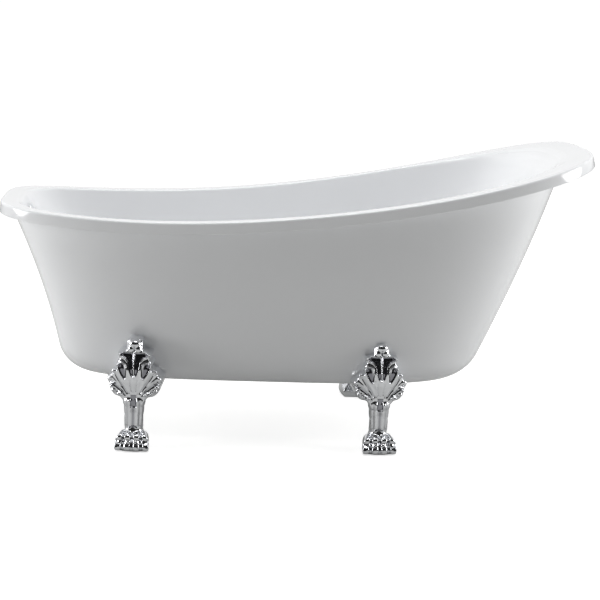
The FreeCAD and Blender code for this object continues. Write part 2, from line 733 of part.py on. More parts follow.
def make_foot(place, splay):
    """Return one front foot, turned by splay about its own upright axis, and its tongue."""
    base = leaf_stock(10).common(front_prism(LEAF_START, LEAF_ARCS, True))
    carvings = []
    for (depth, start, steps), symmetric in ((CENTRE_LEAF, True), (CROWN_LEAF, True), (DOME, True),
                                             (UPPER_LEAF, False), (WIDE_LEAF, False), (LOWER_LEAF, False)):
        carvings.append(leaf_stock(depth).common(front_prism(start, steps, symmetric)))
    foot = base.fuse(carvings + [leg_solid()] + toes()).cut(flutes())
    front = solve(FOOT_FRONT)
    foot.rotate(Vector(0, -front + 50, 0), Vector(0, 0, 1), splay)
    top = solve("skirt_base")
    thick = solve("tongue_thick")
    width = solve("tongue_width")
    bolts = solve(BOLT_PLACE)
    inner = bolts - solve("tongue_margin")
    root = front - 50
    tongue = Part.makeBox(width, root - inner, thick, Vector(-width / 2, -root, top - thick))
    gusset = Part.makePolygon([Vector(-5, -root + 8, 88), Vector(-5, -bolts - 16, top - thick + 1),
                               Vector(-5, -root + 8, top - thick + 1), Vector(-5, -root + 8, 88)])
    rib = Part.Face(gusset).extrude(Vector(10, 0, 0))
    foot = foot.fuse([tongue, rib])
    foot.translate(Vector(place, 0, 0))
    holes = []
    for end in (-1, 1):
        x = place + end * solve("bolt_pitch / 2")
        holes.append(Part.makeCylinder(solve("(bolt_size + bolt_clearance) / 2"), 60, Vector(x, -bolts, top - 50)))
    length = solve("pad_length")
    depth = solve("pad_width")
    lift = solve("foot_lift")
    pad = Part.makeBox(length, depth, solve("pad_thick"),
                       Vector(place - length / 2, -front + solve("pad_setback") - depth / 2, 0))
    ground = Part.makeBox(400, 400, lift, Vector(place - 200, -front - 100, 0))
    foot = foot.cut([skirt_block(-solve("foot_gap")), pad, ground] + holes)
    return max(foot.Solids, key=lambda solid: solid.Volume)


def build_feet():
    """Make the four feet as mirror pairs."""
    pairs = (("low_end", -solve("foot_low_place"), -solve("foot_low_splay")),
             ("slipper_end", solve("foot_slipper_place"), solve("foot_slipper_splay")))
    for end, place, splay in pairs:
        front = make_foot(place, splay)
        formed(f"{end}_front_foot", front)
        formed(f"{end}_rear_foot", front.mirror(Vector(0, 0, 0), Vector(0, 1, 0)))

# ---------------------------------------------------------------- frame and fasteners


def build_frame():
    """Make the steel frame under the bathing floor and the board that it carries."""
    tubes = []
    for name, place in (("low_end_bearer", "-foot_low_place"), ("slipper_end_bearer", "foot_slipper_place")):
        outer = stand(box(f"{name}_outer", "bearer_width", "bearer_length", "frame_tube"),
                      f"{place} - bearer_width / 2", "-bearer_length / 2", FRAME_BASE)
        inner = stand(box(f"{name}_inner", "bearer_width - 2 * frame_tube_wall", "bearer_length",
                          "frame_tube - 2 * frame_tube_wall"),
                      f"{place} - bearer_width / 2 + frame_tube_wall", "-bearer_length / 2",
                      f"{FRAME_BASE} + frame_tube_wall")
        holes = []
        for side in ("-", ""):
            for end in ("-", "+"):
                hole = rod(f"{name}_hole{len(holes)}", "(bolt_size + bolt_clearance) / 2", "frame_tube_wall * 3")
                holes.append(stand(hole, f"{place} {end} bolt_pitch / 2", f"{side}{BOLT_PLACE}",
                                   f"{FRAME_BASE} - frame_tube_wall"))
        keep(cut(f"{name}_cut", outer, [inner] + holes), name)
    for side in ("-", ""):
        length = "foot_low_place + foot_slipper_place - bearer_width"
        outer = stand(box("rail_outer", length, "frame_tube", "frame_tube"),
                      "-foot_low_place + bearer_width / 2", f"{side}rail_spacing / 2 - frame_tube / 2", FRAME_BASE)
        inner = stand(box("rail_inner", length, "frame_tube - 2 * frame_tube_wall",
                          "frame_tube - 2 * frame_tube_wall"),
                      "-foot_low_place + bearer_width / 2",
                      f"{side}rail_spacing / 2 - frame_tube / 2 + frame_tube_wall",
                      f"{FRAME_BASE} + frame_tube_wall")
        tubes.append(cut("rail_cut", outer, [inner]))
    keep(group("rail_group", tubes), "frame_rails")
    board = stand(box("board_box", "board_length", "board_width", "board_thick"),
                  "-drain_place + shoe_collar / 2 + board_gap", "-board_width / 2", BOARD_BASE)
    keep(board, "base_board")


def build_foot_fasteners():
    """Make the bolts, washers and nuts that hold the feet to the cross bearers."""
    bolts = []
    washers = []
    nuts = []
    washer_base = "(skirt_base - tongue_thick - washer_thick)"
    nut_base = f"({FRAME_BASE} + frame_tube_wall)"
    for x, y in bolt_places():
        shank_length = f"{nut_base} + nut_height + 2 - {washer_base}"
        shank = stand(rod("shank", "bolt_size / 2", shank_length), x, y, washer_base)
        head = stand(hexagon("head", "bolt_flats", "bolt_head"), x, y, f"{washer_base} - bolt_head")
        bolts.append(joined("bolt", [shank, head]))
        disc = stand(rod("disc", "washer_size / 2", "washer_thick"), x, y, washer_base)
        eye = stand(rod("eye", "bolt_size / 2", "washer_thick"), x, y, washer_base)
        washers.append(cut("washer", disc, [eye]))
        block = stand(hexagon("block", "bolt_flats", "nut_height"), x, y, nut_base)
        thread = stand(rod("thread", "bolt_size / 2", "nut_height"), x, y, nut_base)
        nuts.append(cut("nut", block, [thread]))
    keep(group("bolt_group", bolts), "foot_bolts")
    keep(group("washer_group", washers), "foot_washers")
    keep(group("nut_group", nuts), "foot_nuts")


def build_floor_pads():
    """Make the rubber pads in the soles of the four paws."""
    pads = []
    for place in ("-foot_low_place", "foot_slipper_place"):
        middle = f"({FOOT_FRONT} - pad_setback)"
        for y in (f"-{middle}", middle):
            pad = box("pad", "pad_length", "pad_width", "pad_thick")
            pads.append(stand(pad, f"{place} - pad_length / 2", f"{y} - pad_width / 2"))
    keep(group("pad_group", pads), "floor_pads")


# ---------------------------------------------------------------- waste and overflow


def build_drain():
    """Make the drain, its gaskets and shoe, and the tailpiece with its slip nut."""
    place = "-drain_place"
    lower = f"({SHOE_TOP} - shoe_collar_thick)"
    upper_gasket = ring("upper_gasket", "drain_tail / 2", "drain_rim / 2 - 2", "0", "gasket_thick")
    keep(stand(upper_gasket, place, z=BASIN_FLOOR), "drain_upper_gasket")
    lower_gasket = ring("lower_gasket", "drain_tail / 2", "shoe_collar / 2", "0", "gasket_thick")
    keep(stand(lower_gasket, place, z=SHOE_TOP), "drain_lower_gasket")
    tail = turned("drain_turned", [
        ("drain_bore / 2", "-drain_tail_length"), ("drain_tail / 2", "-drain_tail_length"),
        ("drain_tail / 2", "0"), ("drain_rim / 2", "0"), ("drain_rim / 2", "drain_rim_thick / 2"),
        ("drain_rim / 2 - 3", "drain_rim_thick"), ("drain_bore / 2 + 2", "drain_rim_thick"),
        ("drain_bore / 2", "drain_rim_thick - 2")])
    stand(tail, place, z=DRAIN_SEAT)
    hub = stand(rod("hub", "hub_size / 2", "hub_height"), place, z=DRAIN_TAIL_END)
    arms = []
    for turn in (0, 120, 240):
        arm = box("arm", "drain_bore / 2 + 1", "arm_width", "hub_height - 2")
        arm.Placement = Placement(Vector(), Rotation(Vector(0, 0, 1), turn))
        side = Rotation(Vector(0, 0, 1), turn).multVec(Vector(0, -0.5, 0))
        arms.append(stand(arm, f"{place} + arm_width * ({side.x:.4f})", f"arm_width * ({side.y:.4f})",
                          DRAIN_TAIL_END))
    eye = stand(rod("hub_eye", "barrel_size / 2", "hub_height"), place, z=DRAIN_TAIL_END)
    keep(cut("drain_cut", joined("drain_joined", [tail, hub] + arms), [eye]), "drain_flange")
    barrel = ring("barrel", "stem_size / 2 + stem_fit", "barrel_size / 2", "-barrel_drop",
                  "hub_height + barrel_rise")
    keep(stand(barrel, place, z=DRAIN_TAIL_END), "latch_barrel")
    body = turned("shoe_turned", [
        ("drain_bore / 2 - 2", "shoe_base + tail_pipe_socket"), ("tail_pipe_neck / 2", "shoe_base + tail_pipe_socket"),
        ("tail_pipe_neck / 2", "shoe_base"), ("shoe_size / 2", "shoe_base"), ("shoe_size / 2", lower),
        ("shoe_collar / 2", lower), ("shoe_collar / 2", SHOE_TOP), ("drain_tail / 2", SHOE_TOP),
        ("drain_tail / 2", f"{DRAIN_TAIL_END} - barrel_drop - 3"),
        ("drain_bore / 2 - 2", f"{DRAIN_TAIL_END} - barrel_drop - 3")])
    stand(body, place)
    branch = rod("branch", "pipe_size / 2 + elbow_wall", "branch_length + shoe_size / 2 - drain_tail / 2 + 1")
    bore = rod("branch_bore", "pipe_size / 2 + pipe_fit", "branch_length + shoe_size / 2")
    for solid in (branch, bore):
        solid.Placement = Placement(Vector(), Rotation(Vector(0, 1, 0), 90))
        stand(solid, f"{place} - shoe_size / 2 - branch_length", "0", "branch_height")
    keep(cut("shoe_cut", joined("shoe_joined", [body, branch]), [bore]), "drain_shoe")
    shoulder = "shoe_base - slip_nut_height - tail_pipe_bare"
    bore = "tail_pipe / 2 - tail_pipe_wall"
    pipe = turned("tail_pipe_turned", [
        (bore, "tail_pipe_end"), ("tail_pipe / 2", "tail_pipe_end"), ("tail_pipe / 2", shoulder),
        ("tail_pipe_neck / 2", shoulder), ("tail_pipe_neck / 2", "shoe_base + tail_pipe_socket"),
        (bore, "shoe_base + tail_pipe_socket")])
    keep(stand(pipe, place), "tailpiece")
    nut = stand(hexagon("slip_nut_prism", "slip_nut_flats", "slip_nut_height"), place,
                z="shoe_base - slip_nut_height")
    eye = stand(rod("slip_nut_eye", "tail_pipe_neck / 2", "slip_nut_height"), place, z="shoe_base - slip_nut_height")
    keep(cut("slip_nut_cut", nut, [eye]), "slip_nut")


def build_plug():
    """Make the rising plug: cap, seal and the stem that slides in the latch barrel."""
    place = "-drain_place"
    seal = ring("seal", "seal_inner / 2", "seal_outer / 2", "0", "seal_thick")
    keep(stand(seal, place, z=PLUG_SEAT), "plug_seal")
    cap = turned("cap", [
        ("0", "0"), ("seal_inner / 2", "0"), ("seal_inner / 2", "seal_thick"),
        ("plug_size / 2", "seal_thick"), ("plug_size / 2", "seal_thick + plug_thick / 2"),
        ("plug_size / 2 - 3", "seal_thick + plug_thick"),
        ("plug_size / 4", "seal_thick + plug_thick + plug_dome * 0.8"),
        ("0", "seal_thick + plug_thick + plug_dome")])
    keep(stand(cap, place, z=PLUG_SEAT), "plug_cap")
    stem = rod("stem", "stem_size / 2", f"{PLUG_SEAT} - {DRAIN_TAIL_END} + barrel_drop")
    keep(stand(stem, place, z=f"{DRAIN_TAIL_END} - barrel_drop"), "plug_stem")


def placed(solid, placement, shift):
    """Return a copy of a solid moved along its own Z axis and then placed."""
    copy = solid.copy()
    copy.translate(Vector(0, 0, shift))
    copy.Placement = placement.multiply(copy.Placement)
    return copy


def build_overflow():
    """Make the overflow: plate and screw in the bath, gasket, elbow and pipe behind the wall."""
    seat = overflow_placement()
    radius = solve("overflow_plate / 2")
    depth = solve("overflow_depth")
    wall = solve("basin_wall")
    plate = Part.makeCylinder(radius, depth * 0.7)
    plate = plate.fuse(Part.makeCone(radius, radius - 5, depth * 0.3, Vector(0, 0, depth * 0.7)))
    plate = plate.cut(Part.makeCylinder(radius - 3, depth * 0.6))
    screw = solve("screw_size / 2")
    plate = plate.cut(Part.makeCylinder(screw, depth * 2))
    for turn in (-32, 0, 32):
        slot = Part.makeBox(12, 8, 4, Vector(radius - 9, -4, 1.5))
        slot.rotate(Vector(), Vector(0, 0, 1), turn)
        plate = plate.cut(slot)
    formed("overflow_plate", placed(plate, seat, 0))
    back = -wall - solve("gasket_thick")
    elbow_radius = solve("elbow_size / 2")
    hole = solve("overflow_hole / 2")
    gasket = Part.makeCylinder(elbow_radius, solve("gasket_thick")).cut(Part.makeCylinder(hole, 10))
    formed("overflow_gasket", placed(gasket, seat, back))
    shell_depth = solve("elbow_depth")
    thick = solve("elbow_wall")
    pipe = solve("pipe_size / 2")
    centre = back - shell_depth / 2
    start = seat.multVec(Vector(elbow_radius - thick, 0, centre))
    corner = Vector(-solve("basin_low_reach + pipe_corner"), 0, solve("branch_height"))
    end = Vector(solve("pipe_socket - drain_place - shoe_size / 2 - branch_length"), 0, corner.z)
    elbow = Part.makeCylinder(elbow_radius, shell_depth)
    elbow = elbow.cut(Part.makeCylinder(elbow_radius - thick, shell_depth, Vector(0, 0, thick)))
    elbow = elbow.fuse(Part.makeCylinder(screw + 3, shell_depth - 2))
    elbow = elbow.cut(Part.makeCylinder(screw, shell_depth, Vector(0, 0, thick)))
    elbow = placed(elbow, seat, back - shell_depth)
    port = Part.makeCylinder(pipe + solve("pipe_fit"), elbow_radius, start, corner - start)
    elbow = elbow.cut(port)
    formed("overflow_elbow", elbow)
    shaft = Part.makeCylinder(screw, depth - back + shell_depth - thick)
    head = Part.makeCylinder(solve("screw_head / 2"), 2.5)
    head.translate(Vector(0, 0, depth - back + shell_depth - thick))
    formed("overflow_screw", placed(shaft.fuse(head), seat, back - shell_depth + thick))
    formed("overflow_pipe", bent_pipe(start, corner, end))


def bent_pipe(start, corner, end):
    """Return a pipe with one bend between two straight runs."""
    first = (corner - start).normalize()
    second = (end - corner).normalize()
    turn = first.getAngle(second)
    reach = solve("pipe_bend") * math.tan(turn / 2)
    enter = corner - first * reach
    leave = corner + second * reach
    centre = enter + (second - first * first.dot(second)).normalize() * solve("pipe_bend")
    middle = centre + (corner - centre).normalize() * solve("pipe_bend")
    path = Part.Wire([Part.makeLine(start, enter), Part.Arc(enter, middle, leave).toShape(),
                      Part.makeLine(leave, end)])
    tubes = []
    for radius in (solve("pipe_size / 2"), solve("pipe_size / 2 - pipe_wall")):
        section = Part.Wire(Part.makeCircle(radius, start, first))
        tubes.append(path.makePipeShell([section], True, False))
    return tubes[0].cut(tubes[1])


def check_and_write():
    """Stop on any failed object or shape, then write one file for each node."""
    for item in document.Objects:
        if {"Invalid", "Error"} & set(item.State):
            raise RuntimeError(f"{item.Label} failed: {item.State}")
    for node in nodes:
        if node.Shape.isNull() or not node.Shape.isValid():
            raise RuntimeError(f"{node.Label} has no valid shape")
    os.makedirs("parts", exist_ok=True)
    for node in nodes:
        node.Shape.exportStep(f"parts/{node.Label}.step")
        print(f"{node.Label}: {len(node.Shape.Solids)} solids, {node.Shape.Volume / 1e3:.1f} cm3")


formed("basin", make_basin())
formed("skirt", make_skirt())
build_feet()
build_frame()
build_foot_fasteners()
build_floor_pads()
build_drain()
build_plug()
build_overflow()
document.recompute()
check_and_write()
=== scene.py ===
"""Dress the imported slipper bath: smooth acrylic shells, carved chrome feet, fittings and studio."""

import enum
import json
import logging
import math
from dataclasses import dataclass
from typing import Callable, Iterable, Optional, Sequence

import bmesh
import bpy
import numpy as np
from mathutils import Matrix, Vector


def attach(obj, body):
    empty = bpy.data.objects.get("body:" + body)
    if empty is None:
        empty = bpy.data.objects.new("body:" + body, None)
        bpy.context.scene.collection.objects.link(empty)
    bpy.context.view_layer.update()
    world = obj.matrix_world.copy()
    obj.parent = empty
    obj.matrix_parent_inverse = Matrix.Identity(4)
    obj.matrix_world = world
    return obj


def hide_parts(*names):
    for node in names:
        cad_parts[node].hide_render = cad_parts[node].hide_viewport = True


LOG = logging.getLogger("slipper_bath")
MM = 0.001
FITTING_CREASE = 30.0  # degrees over which an edge of a turned or cut fitting stays sharp
DRAIN = -0.464  # the drain's distance from mid length, in metres
FEET = {"low_end": (-404.0, -6.0), "slipper_end": (208.0, 2.0)}  # mm from mid length, and degrees of splay

Plan = Callable[[np.ndarray, float], tuple]  # heights and skin in; reaches, half width, centre, powers out

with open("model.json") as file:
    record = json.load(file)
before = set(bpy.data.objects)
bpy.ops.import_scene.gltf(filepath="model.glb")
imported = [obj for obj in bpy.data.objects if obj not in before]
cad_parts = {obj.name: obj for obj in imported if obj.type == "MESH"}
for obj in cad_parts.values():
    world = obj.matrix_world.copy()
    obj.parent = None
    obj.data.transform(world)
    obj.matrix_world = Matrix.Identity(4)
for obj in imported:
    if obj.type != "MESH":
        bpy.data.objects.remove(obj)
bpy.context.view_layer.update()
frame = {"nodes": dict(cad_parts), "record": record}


class Body(enum.Enum):
    """The bodies that pieces ride on."""

    TUB = "tub"
    PLUG = "plug"


# ---------------------------------------------------------------- finishes


def add_node(tree: bpy.types.NodeTree, kind: str, inputs: Optional[dict] = None,
             **settings: str) -> bpy.types.Node:
    """Add a node to a tree.

    Args:
        tree: the node tree.
        kind: the node's type.
        inputs: a value, or a socket to link, for each input that is set.
        settings: the node's own settings, such as its operation.

    Returns:
        The new node.
    """
    node = tree.nodes.new(kind)
    for setting, choice in settings.items():
        setattr(node, setting, choice)
    for socket, value in (inputs or {}).items():
        if isinstance(value, bpy.types.NodeSocket):
            tree.links.new(value, node.inputs[socket])
        else:
            node.inputs[socket].default_value = value
    return node


@dataclass(frozen=True)
class Finish:
    """One procedural finish.

    Args:
        slot: the record's material slot.
        color: base colour.
        rough: roughness in the middle of its range.
        metal: 1 for bare metal, 0 for everything else.
        spread: how far roughness wanders from its middle.
        grain: size of the surface grain, in cycles per metre.
        relief: height of the grain's bump, in metres.
        coat: weight of a clear top layer.
        tint: colour that the grain mixes in.
        mottle: how strongly the tint shows, from 0 to 1.
        carving_shade: colour of the shade painted in deep carving, or None.
        stretch: scale of the grain along X, Y and Z.
    """

    slot: str
    color: tuple[float, float, float]
    rough: float
    metal: float = 0.0
    spread: float = 0.03
    grain: float = 400.0
    relief: float = 0.00002
    coat: float = 0.0
    tint: tuple[float, float, float] = (0.5, 0.5, 0.5)
    mottle: float = 0.0
    carving_shade: Optional[tuple[float, float, float]] = None
    stretch: tuple[float, float, float] = (1.0, 1.0, 1.0)

    COAT_ROUGHNESS = 0.04
    REFRACTION = 1.49
    CLOUD_SIZE = 25.0

    def material(self) -> bpy.types.Material:
        """Return the finish's material, made on first use.

        Returns:
            The Blender material.
        """
        name = f"{self.slot}_finish"
        if name in bpy.data.materials:
            return bpy.data.materials[name]
        material = bpy.data.materials.new(name)
        material.use_nodes = True
        tree = material.node_tree
        shader = tree.nodes["Principled BSDF"]
        shader.inputs["Metallic"].default_value = self.metal
        shader.inputs["Coat Weight"].default_value = self.coat
        shader.inputs["Coat Roughness"].default_value = self.COAT_ROUGHNESS
        shader.inputs["IOR"].default_value = self.REFRACTION
        place = add_node(tree, "ShaderNodeTexCoord").outputs["Object"]
        mapping = add_node(tree, "ShaderNodeMapping", {"Vector": place, "Scale": self.stretch})
        grain, cloud = (
            add_node(tree, "ShaderNodeTexNoise",
                     {"Vector": mapping.outputs["Vector"], "Scale": scale, "Detail": detail}).outputs["Fac"]
            for scale, detail in ((self.grain, 4.0), (self.grain / self.CLOUD_SIZE, 3.0)))
        spread = add_node(tree, "ShaderNodeMapRange",
                          {"Value": cloud, "From Min": 0.3, "From Max": 0.7,
                           "To Min": max(0.0, self.rough - self.spread), "To Max": self.rough + self.spread})
        bump = add_node(tree, "ShaderNodeBump", {"Height": grain, "Distance": self.relief, "Strength": 0.5})
        share = add_node(tree, "ShaderNodeMath", {0: grain, 1: self.mottle}, operation="MULTIPLY")
        mix = add_node(tree, "ShaderNodeMix",
                       {"Factor": share.outputs["Value"], "A": (*self.color, 1), "B": (*self.tint, 1)},
                       data_type="RGBA")
        color = mix.outputs["Result"]
        # painted shade: deep carving is darkened in the colour itself
        if self.carving_shade:
            color = self.paint_carving_shade(tree, color)
        for socket, source in (("Roughness", spread.outputs["Result"]), ("Normal", bump.outputs["Normal"]),
                               ("Base Color", color)):
            tree.links.new(source, shader.inputs[socket])
        return material

    def paint_carving_shade(self, tree: bpy.types.NodeTree, color: bpy.types.NodeSocket) -> bpy.types.NodeSocket:
        """Mix the painted shade colour in where the carving is deep.

        Args:
            tree: the material's node tree.
            color: the colour so far.

        Returns:
            The mixed colour's socket.
        """
        depth = add_node(tree, "ShaderNodeAttribute", attribute_name="carving_shade").outputs["Fac"]
        mix = add_node(tree, "ShaderNodeMix", {"Factor": depth, "A": color, "B": (*self.carving_shade, 1)},
                       data_type="RGBA")
        return mix.outputs["Result"]


ACRYLIC = Finish("acrylic", (0.905, 0.915, 0.93), 0.16, spread=0.03, grain=90.0, relief=0.00001, coat=0.5,
                 tint=(0.88, 0.895, 0.915), mottle=0.15)
# the chrome's carving colour is painted shade for the feet's hollows
CHROME = Finish("chrome", (0.84, 0.85, 0.87), 0.15, metal=1.0, spread=0.03, grain=260.0, relief=0.00003,
                tint=(0.74, 0.76, 0.81), mottle=0.25, carving_shade=(0.30, 0.30, 0.33))
STEEL = Finish("steel", (0.05, 0.05, 0.055), 0.45, spread=0.08, grain=900.0, relief=0.00006,
               tint=(0.10, 0.10, 0.10), mottle=0.4)
BOARD = Finish("board", (0.60, 0.43, 0.26), 0.7, spread=0.1, grain=60.0, relief=0.0003,
               tint=(0.36, 0.23, 0.12), mottle=0.7, stretch=(0.25, 4.0, 4.0))
ZINC = Finish("zinc", (0.62, 0.63, 0.65), 0.35, metal=1.0, spread=0.1, grain=500.0,
              tint=(0.48, 0.50, 0.48), mottle=0.5)
RUBBER = Finish("rubber", (0.03, 0.03, 0.032), 0.7, spread=0.1, grain=1200.0, relief=0.00008,
                tint=(0.06, 0.06, 0.06), mottle=0.4)
BRASS = Finish("brass", (0.72, 0.55, 0.27), 0.28, metal=1.0, spread=0.08, grain=700.0,
               tint=(0.5, 0.36, 0.16), mottle=0.4)
PIPE_PLASTIC = Finish("pipe_plastic", (0.78, 0.78, 0.77), 0.4, spread=0.06, grain=800.0,
                      tint=(0.70, 0.70, 0.68), mottle=0.3)
FINISHES = {finish.slot: finish
            for finish in (ACRYLIC, CHROME, STEEL, BOARD, ZINC, RUBBER, BRASS, PIPE_PLASTIC)}


# ---------------------------------------------------------------- meshes


def make_mesh(name: str, points: np.ndarray, faces: Iterable[Sequence[int]],
              crease: float = 40.0) -> bpy.types.Object:
    """Make an object from points and faces, its faces outwards and its creases sharp.

    Args:
        name: name of the object.
        points: vertex places in metres.
        faces: vertex numbers of each face.
        crease: degrees over which an edge stays sharp.

    Returns:
        The new object, at the origin.
    """
    mesh = bpy.data.meshes.new(name)
    mesh.from_pydata(points.tolist(), [], list(faces))
    work = bmesh.new()
    work.from_mesh(mesh)
    bmesh.ops.remove_doubles(work, verts=work.verts, dist=1e-6)
    bmesh.ops.recalc_face_normals(work, faces=work.faces)
    work.to_mesh(mesh)
    work.free()
    mesh.shade_smooth()
    mesh.set_sharp_from_angle(angle=math.radians(crease))
    thing = bpy.data.objects.new(name, mesh)
    bpy.context.scene.collection.objects.link(thing)
    return thing


def dress(piece: bpy.types.Object, finish: Finish, body: Body, *nodes: str) -> bpy.types.Object:
    """Give a piece its finish and body, and let it stand for CAD nodes.

    Args:
        piece: the finished mesh object.
        finish: its finish.
        body: the body that it rides on.
        nodes: CAD nodes that it replaces.

    Returns:
        The same piece.
    """
    piece.data.materials.clear()
    piece.data.materials.append(finish.material())
    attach(piece, body.value)
    if nodes:
        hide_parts(*nodes)
    LOG.info("%s: %d faces", piece.name, len(piece.data.polygons))
    return piece


def tube_faces(rings: int, count: int, closed: bool) -> list[tuple[int, int, int, int]]:
    """Return the quads between rings of points.

    Args:
        rings: number of rings.
        count: points in a ring.
        closed: whether the last ring joins the first.

    Returns:
        Vertex numbers of the quads.
    """
    faces = []
    for ring in range(rings if closed else rings - 1):
        here = ring * count
        there = (ring + 1) % rings * count
        for step in range(count):
            following = (step + 1) % count
            faces.append((here + step, here + following, there + following, there + step))
    return faces


def evaluated(piece: bpy.types.Object) -> bpy.types.Mesh:
    """Return a plain mesh of a piece with its modifiers applied."""
    graph = bpy.context.evaluated_depsgraph_get()
    return bpy.data.meshes.new_from_object(piece.evaluated_get(graph))


def settle(piece: bpy.types.Object) -> bpy.types.Object:
    """Apply a piece's modifiers to its mesh and remove them.

    Args:
        piece: the piece.

    Returns:
        The same piece.
    """
    mesh = evaluated(piece)
    piece.modifiers.clear()
    piece.data = mesh
    return piece


def places(mesh: bpy.types.Mesh) -> np.ndarray:
    """Return the vertex places of a mesh.

    Args:
        mesh: the mesh.

    Returns:
        One row for each vertex, in metres.
    """
    flat = np.empty(len(mesh.vertices) * 3, np.float32)
    mesh.vertices.foreach_get("co", flat)
    return flat.reshape(-1, 3).astype(float)


# ---------------------------------------------------------------- the two shells


@dataclass
class BathForm:
    """Sizes and surfaces that both shells share, in millimetres.

    A plan is a superellipse with two different ends. Reaches are measured from mid length.

    Args:
        half_length: half the length over the rim.
        shift: how far the rim lies towards the low end.
        half_width: half the width over the rim at mid length.
        taper: how much wider the slipper end is, as a share.
        low_power: squareness of the low end.
        slipper_power: squareness of the slipper end.
        low_end: height of the rim's top at the low end.
        middle: the same at mid length.
        slipper_end: the same at the slipper end.
        band: height of the plain band under the rim.
        softening: how much rounder the plan is at the foot of the walls, as a share.
        skirt_base: height of the skirt's flat bottom.
        skirt_low: reach of the skirt's foot at the low end.
        skirt_low_overhang: how far the rim stands out over the skirt at the low end.
        skirt_low_hollow: how far the skirt bends in at the low end.
        skirt_slipper: reach of the skirt's foot at the slipper end.
        skirt_slipper_overhang: how far the rim stands out over the skirt at the slipper end.
        skirt_slipper_swell: how far the skirt bends out at the slipper end.
        skirt_side_overhang: how far the rim stands out over the skirt at the sides.
        skirt_foot_width: half width of the skirt's foot.
        skirt_side_curve: power of the swell of its sides.
        skirt_round: radius of the rounding at its foot.
        skirt_draw: how far the middle of its plan moves to the low end at the foot.
        floor: height of the bathing floor.
        basin_low: reach of the bathing floor at the low end.
        basin_low_slope: degrees that the wall there leans out.
        basin_low_curve: the larger, the straighter that wall.
        basin_slipper: reach of the bathing floor at the slipper end.
        basin_slipper_slope: degrees that the wall there leans out.
        flare: how far that wall turns out under the rim.
        flare_height: height over which it does.
        basin_side_rim: distance of the side walls from the rim's outline.
        basin_foot_width: half width of the bathing floor.
        basin_side_curve: power of the swell of the side walls.
        basin_round: radius of the rounding round the bathing floor.
        basin_draw: how far the middle of its plan moves to the low end at the floor.
        steps: number of steps along half the rim.
        rim_pitch: distance between the measured heights of the rim.
        rim_heights: those heights, from beyond the low end to beyond the slipper end.
        passes: how often a rail's height is fitted to the rim above it.
        round_step: degrees between the rails of a rounding.
    """

    half_length: float = 750.0
    shift: float = 3.0
    half_width: float = 344.9
    taper: float = 0.16
    low_power: float = 4.0
    slipper_power: float = 3.3
    low_end: float = 593.0
    middle: float = 602.0
    slipper_end: float = 760.0
    band: float = 30.0
    softening: float = 0.12
    skirt_base: float = 148.0
    skirt_low: float = 594.0
    skirt_low_overhang: float = 28.0
    skirt_low_hollow: float = 14.8
    skirt_slipper: float = 458.0
    skirt_slipper_overhang: float = 78.0
    skirt_slipper_swell: float = 10.5
    skirt_side_overhang: float = 15.0
    skirt_foot_width: float = 225.0
    skirt_side_curve: float = 1.6
    skirt_round: float = 70.0
    skirt_draw: float = 68.0
    floor: float = 204.0
    basin_low: float = 545.0
    basin_low_slope: float = 14.7
    basin_low_curve: float = 2500.0
    basin_slipper: float = 395.0
    basin_slipper_slope: float = 25.2
    flare: float = 55.0
    flare_height: float = 70.0
    basin_side_rim: float = 27.0
    basin_foot_width: float = 190.0
    basin_side_curve: float = 2.18
    basin_round: float = 45.0
    basin_draw: float = 75.0
    steps: int = 150
    rim_pitch: float = 125.0
    rim_heights: tuple[float, ...] = (605.1, 593.0, 583.8, 578.2, 577.0, 580.8, 589.2, 602.0, 618.7, 639.3,
                                      664.0, 692.8, 725.0, 760.0, 797.0)
    passes: int = 12
    round_step: int = 6

    def __post_init__(self) -> None:
        """Choose plan angles that lie evenly along the rim."""
        dense = np.linspace(0, math.pi, 8001)
        powers = (self.low_power, self.slipper_power)
        x, y = self.plan_point(dense, self.half_length, self.half_length, self.half_width, 0.0, powers)
        length = np.concatenate([[0], np.cumsum(np.hypot(np.diff(x), np.diff(y)))])
        self.angles = np.interp(np.linspace(0, length[-1], self.steps + 1), length, dense)
        self.angles[-1] = math.pi

    def plan_point(self, angle: np.ndarray, low: np.ndarray, slipper: np.ndarray, half: np.ndarray,
                   centre: np.ndarray, powers: Sequence) -> tuple[np.ndarray, np.ndarray]:
        """Return points of a plan.

        Args:
            angle: plan angles, 0 at the slipper end.
            low: reach towards the low end.
            slipper: reach towards the slipper end.
            half: half width at mid length.
            centre: where the two ends of the plan meet.
            powers: squareness of the low end and of the slipper end.

        Returns:
            The x and y of the points.
        """
        cosine = np.cos(angle)
        ahead = cosine > 0
        reach = np.where(ahead, slipper - centre, centre + low)
        power = np.where(ahead, powers[1], powers[0])
        x = centre + np.sign(cosine) * reach * np.abs(cosine) ** (2 / power)
        sine = np.clip(np.sin(angle), 0, 1)
        sine = np.where(sine < 1e-9, 0, sine)
        return x, half * sine ** (2 / power) * (1 + self.taper * x / self.half_length)

    def rim_at(self, x: np.ndarray) -> tuple[np.ndarray, np.ndarray]:
        """Return the rim's height and slope, from a smooth curve through its measured heights.

        Args:
            x: distances from mid length.

        Returns:
            The heights, and the slopes along X.
        """
        heights = np.array(self.rim_heights)
        place = np.clip(x / self.rim_pitch + len(heights) // 2, 1, len(heights) - 2.001)
        index = place.astype(int)
        t = place - index
        p0, p1, p2, p3 = (heights[index + step] for step in (-1, 0, 1, 2))
        a = (p3 - p0 + 3 * (p1 - p2)) / 2
        b = (2 * p0 - 5 * p1 + 4 * p2 - p3) / 2
        c = (p2 - p0) / 2
        return ((a * t + b) * t + c) * t + p1, ((3 * a * t + 2 * b) * t + c) / self.rim_pitch

    def filled(self, height: np.ndarray) -> np.ndarray:
        """Return how far up the walls a height lies, from 0 to 1."""
        return np.clip((height - self.skirt_base) / (self.middle - self.band - self.skirt_base), 0, 1)

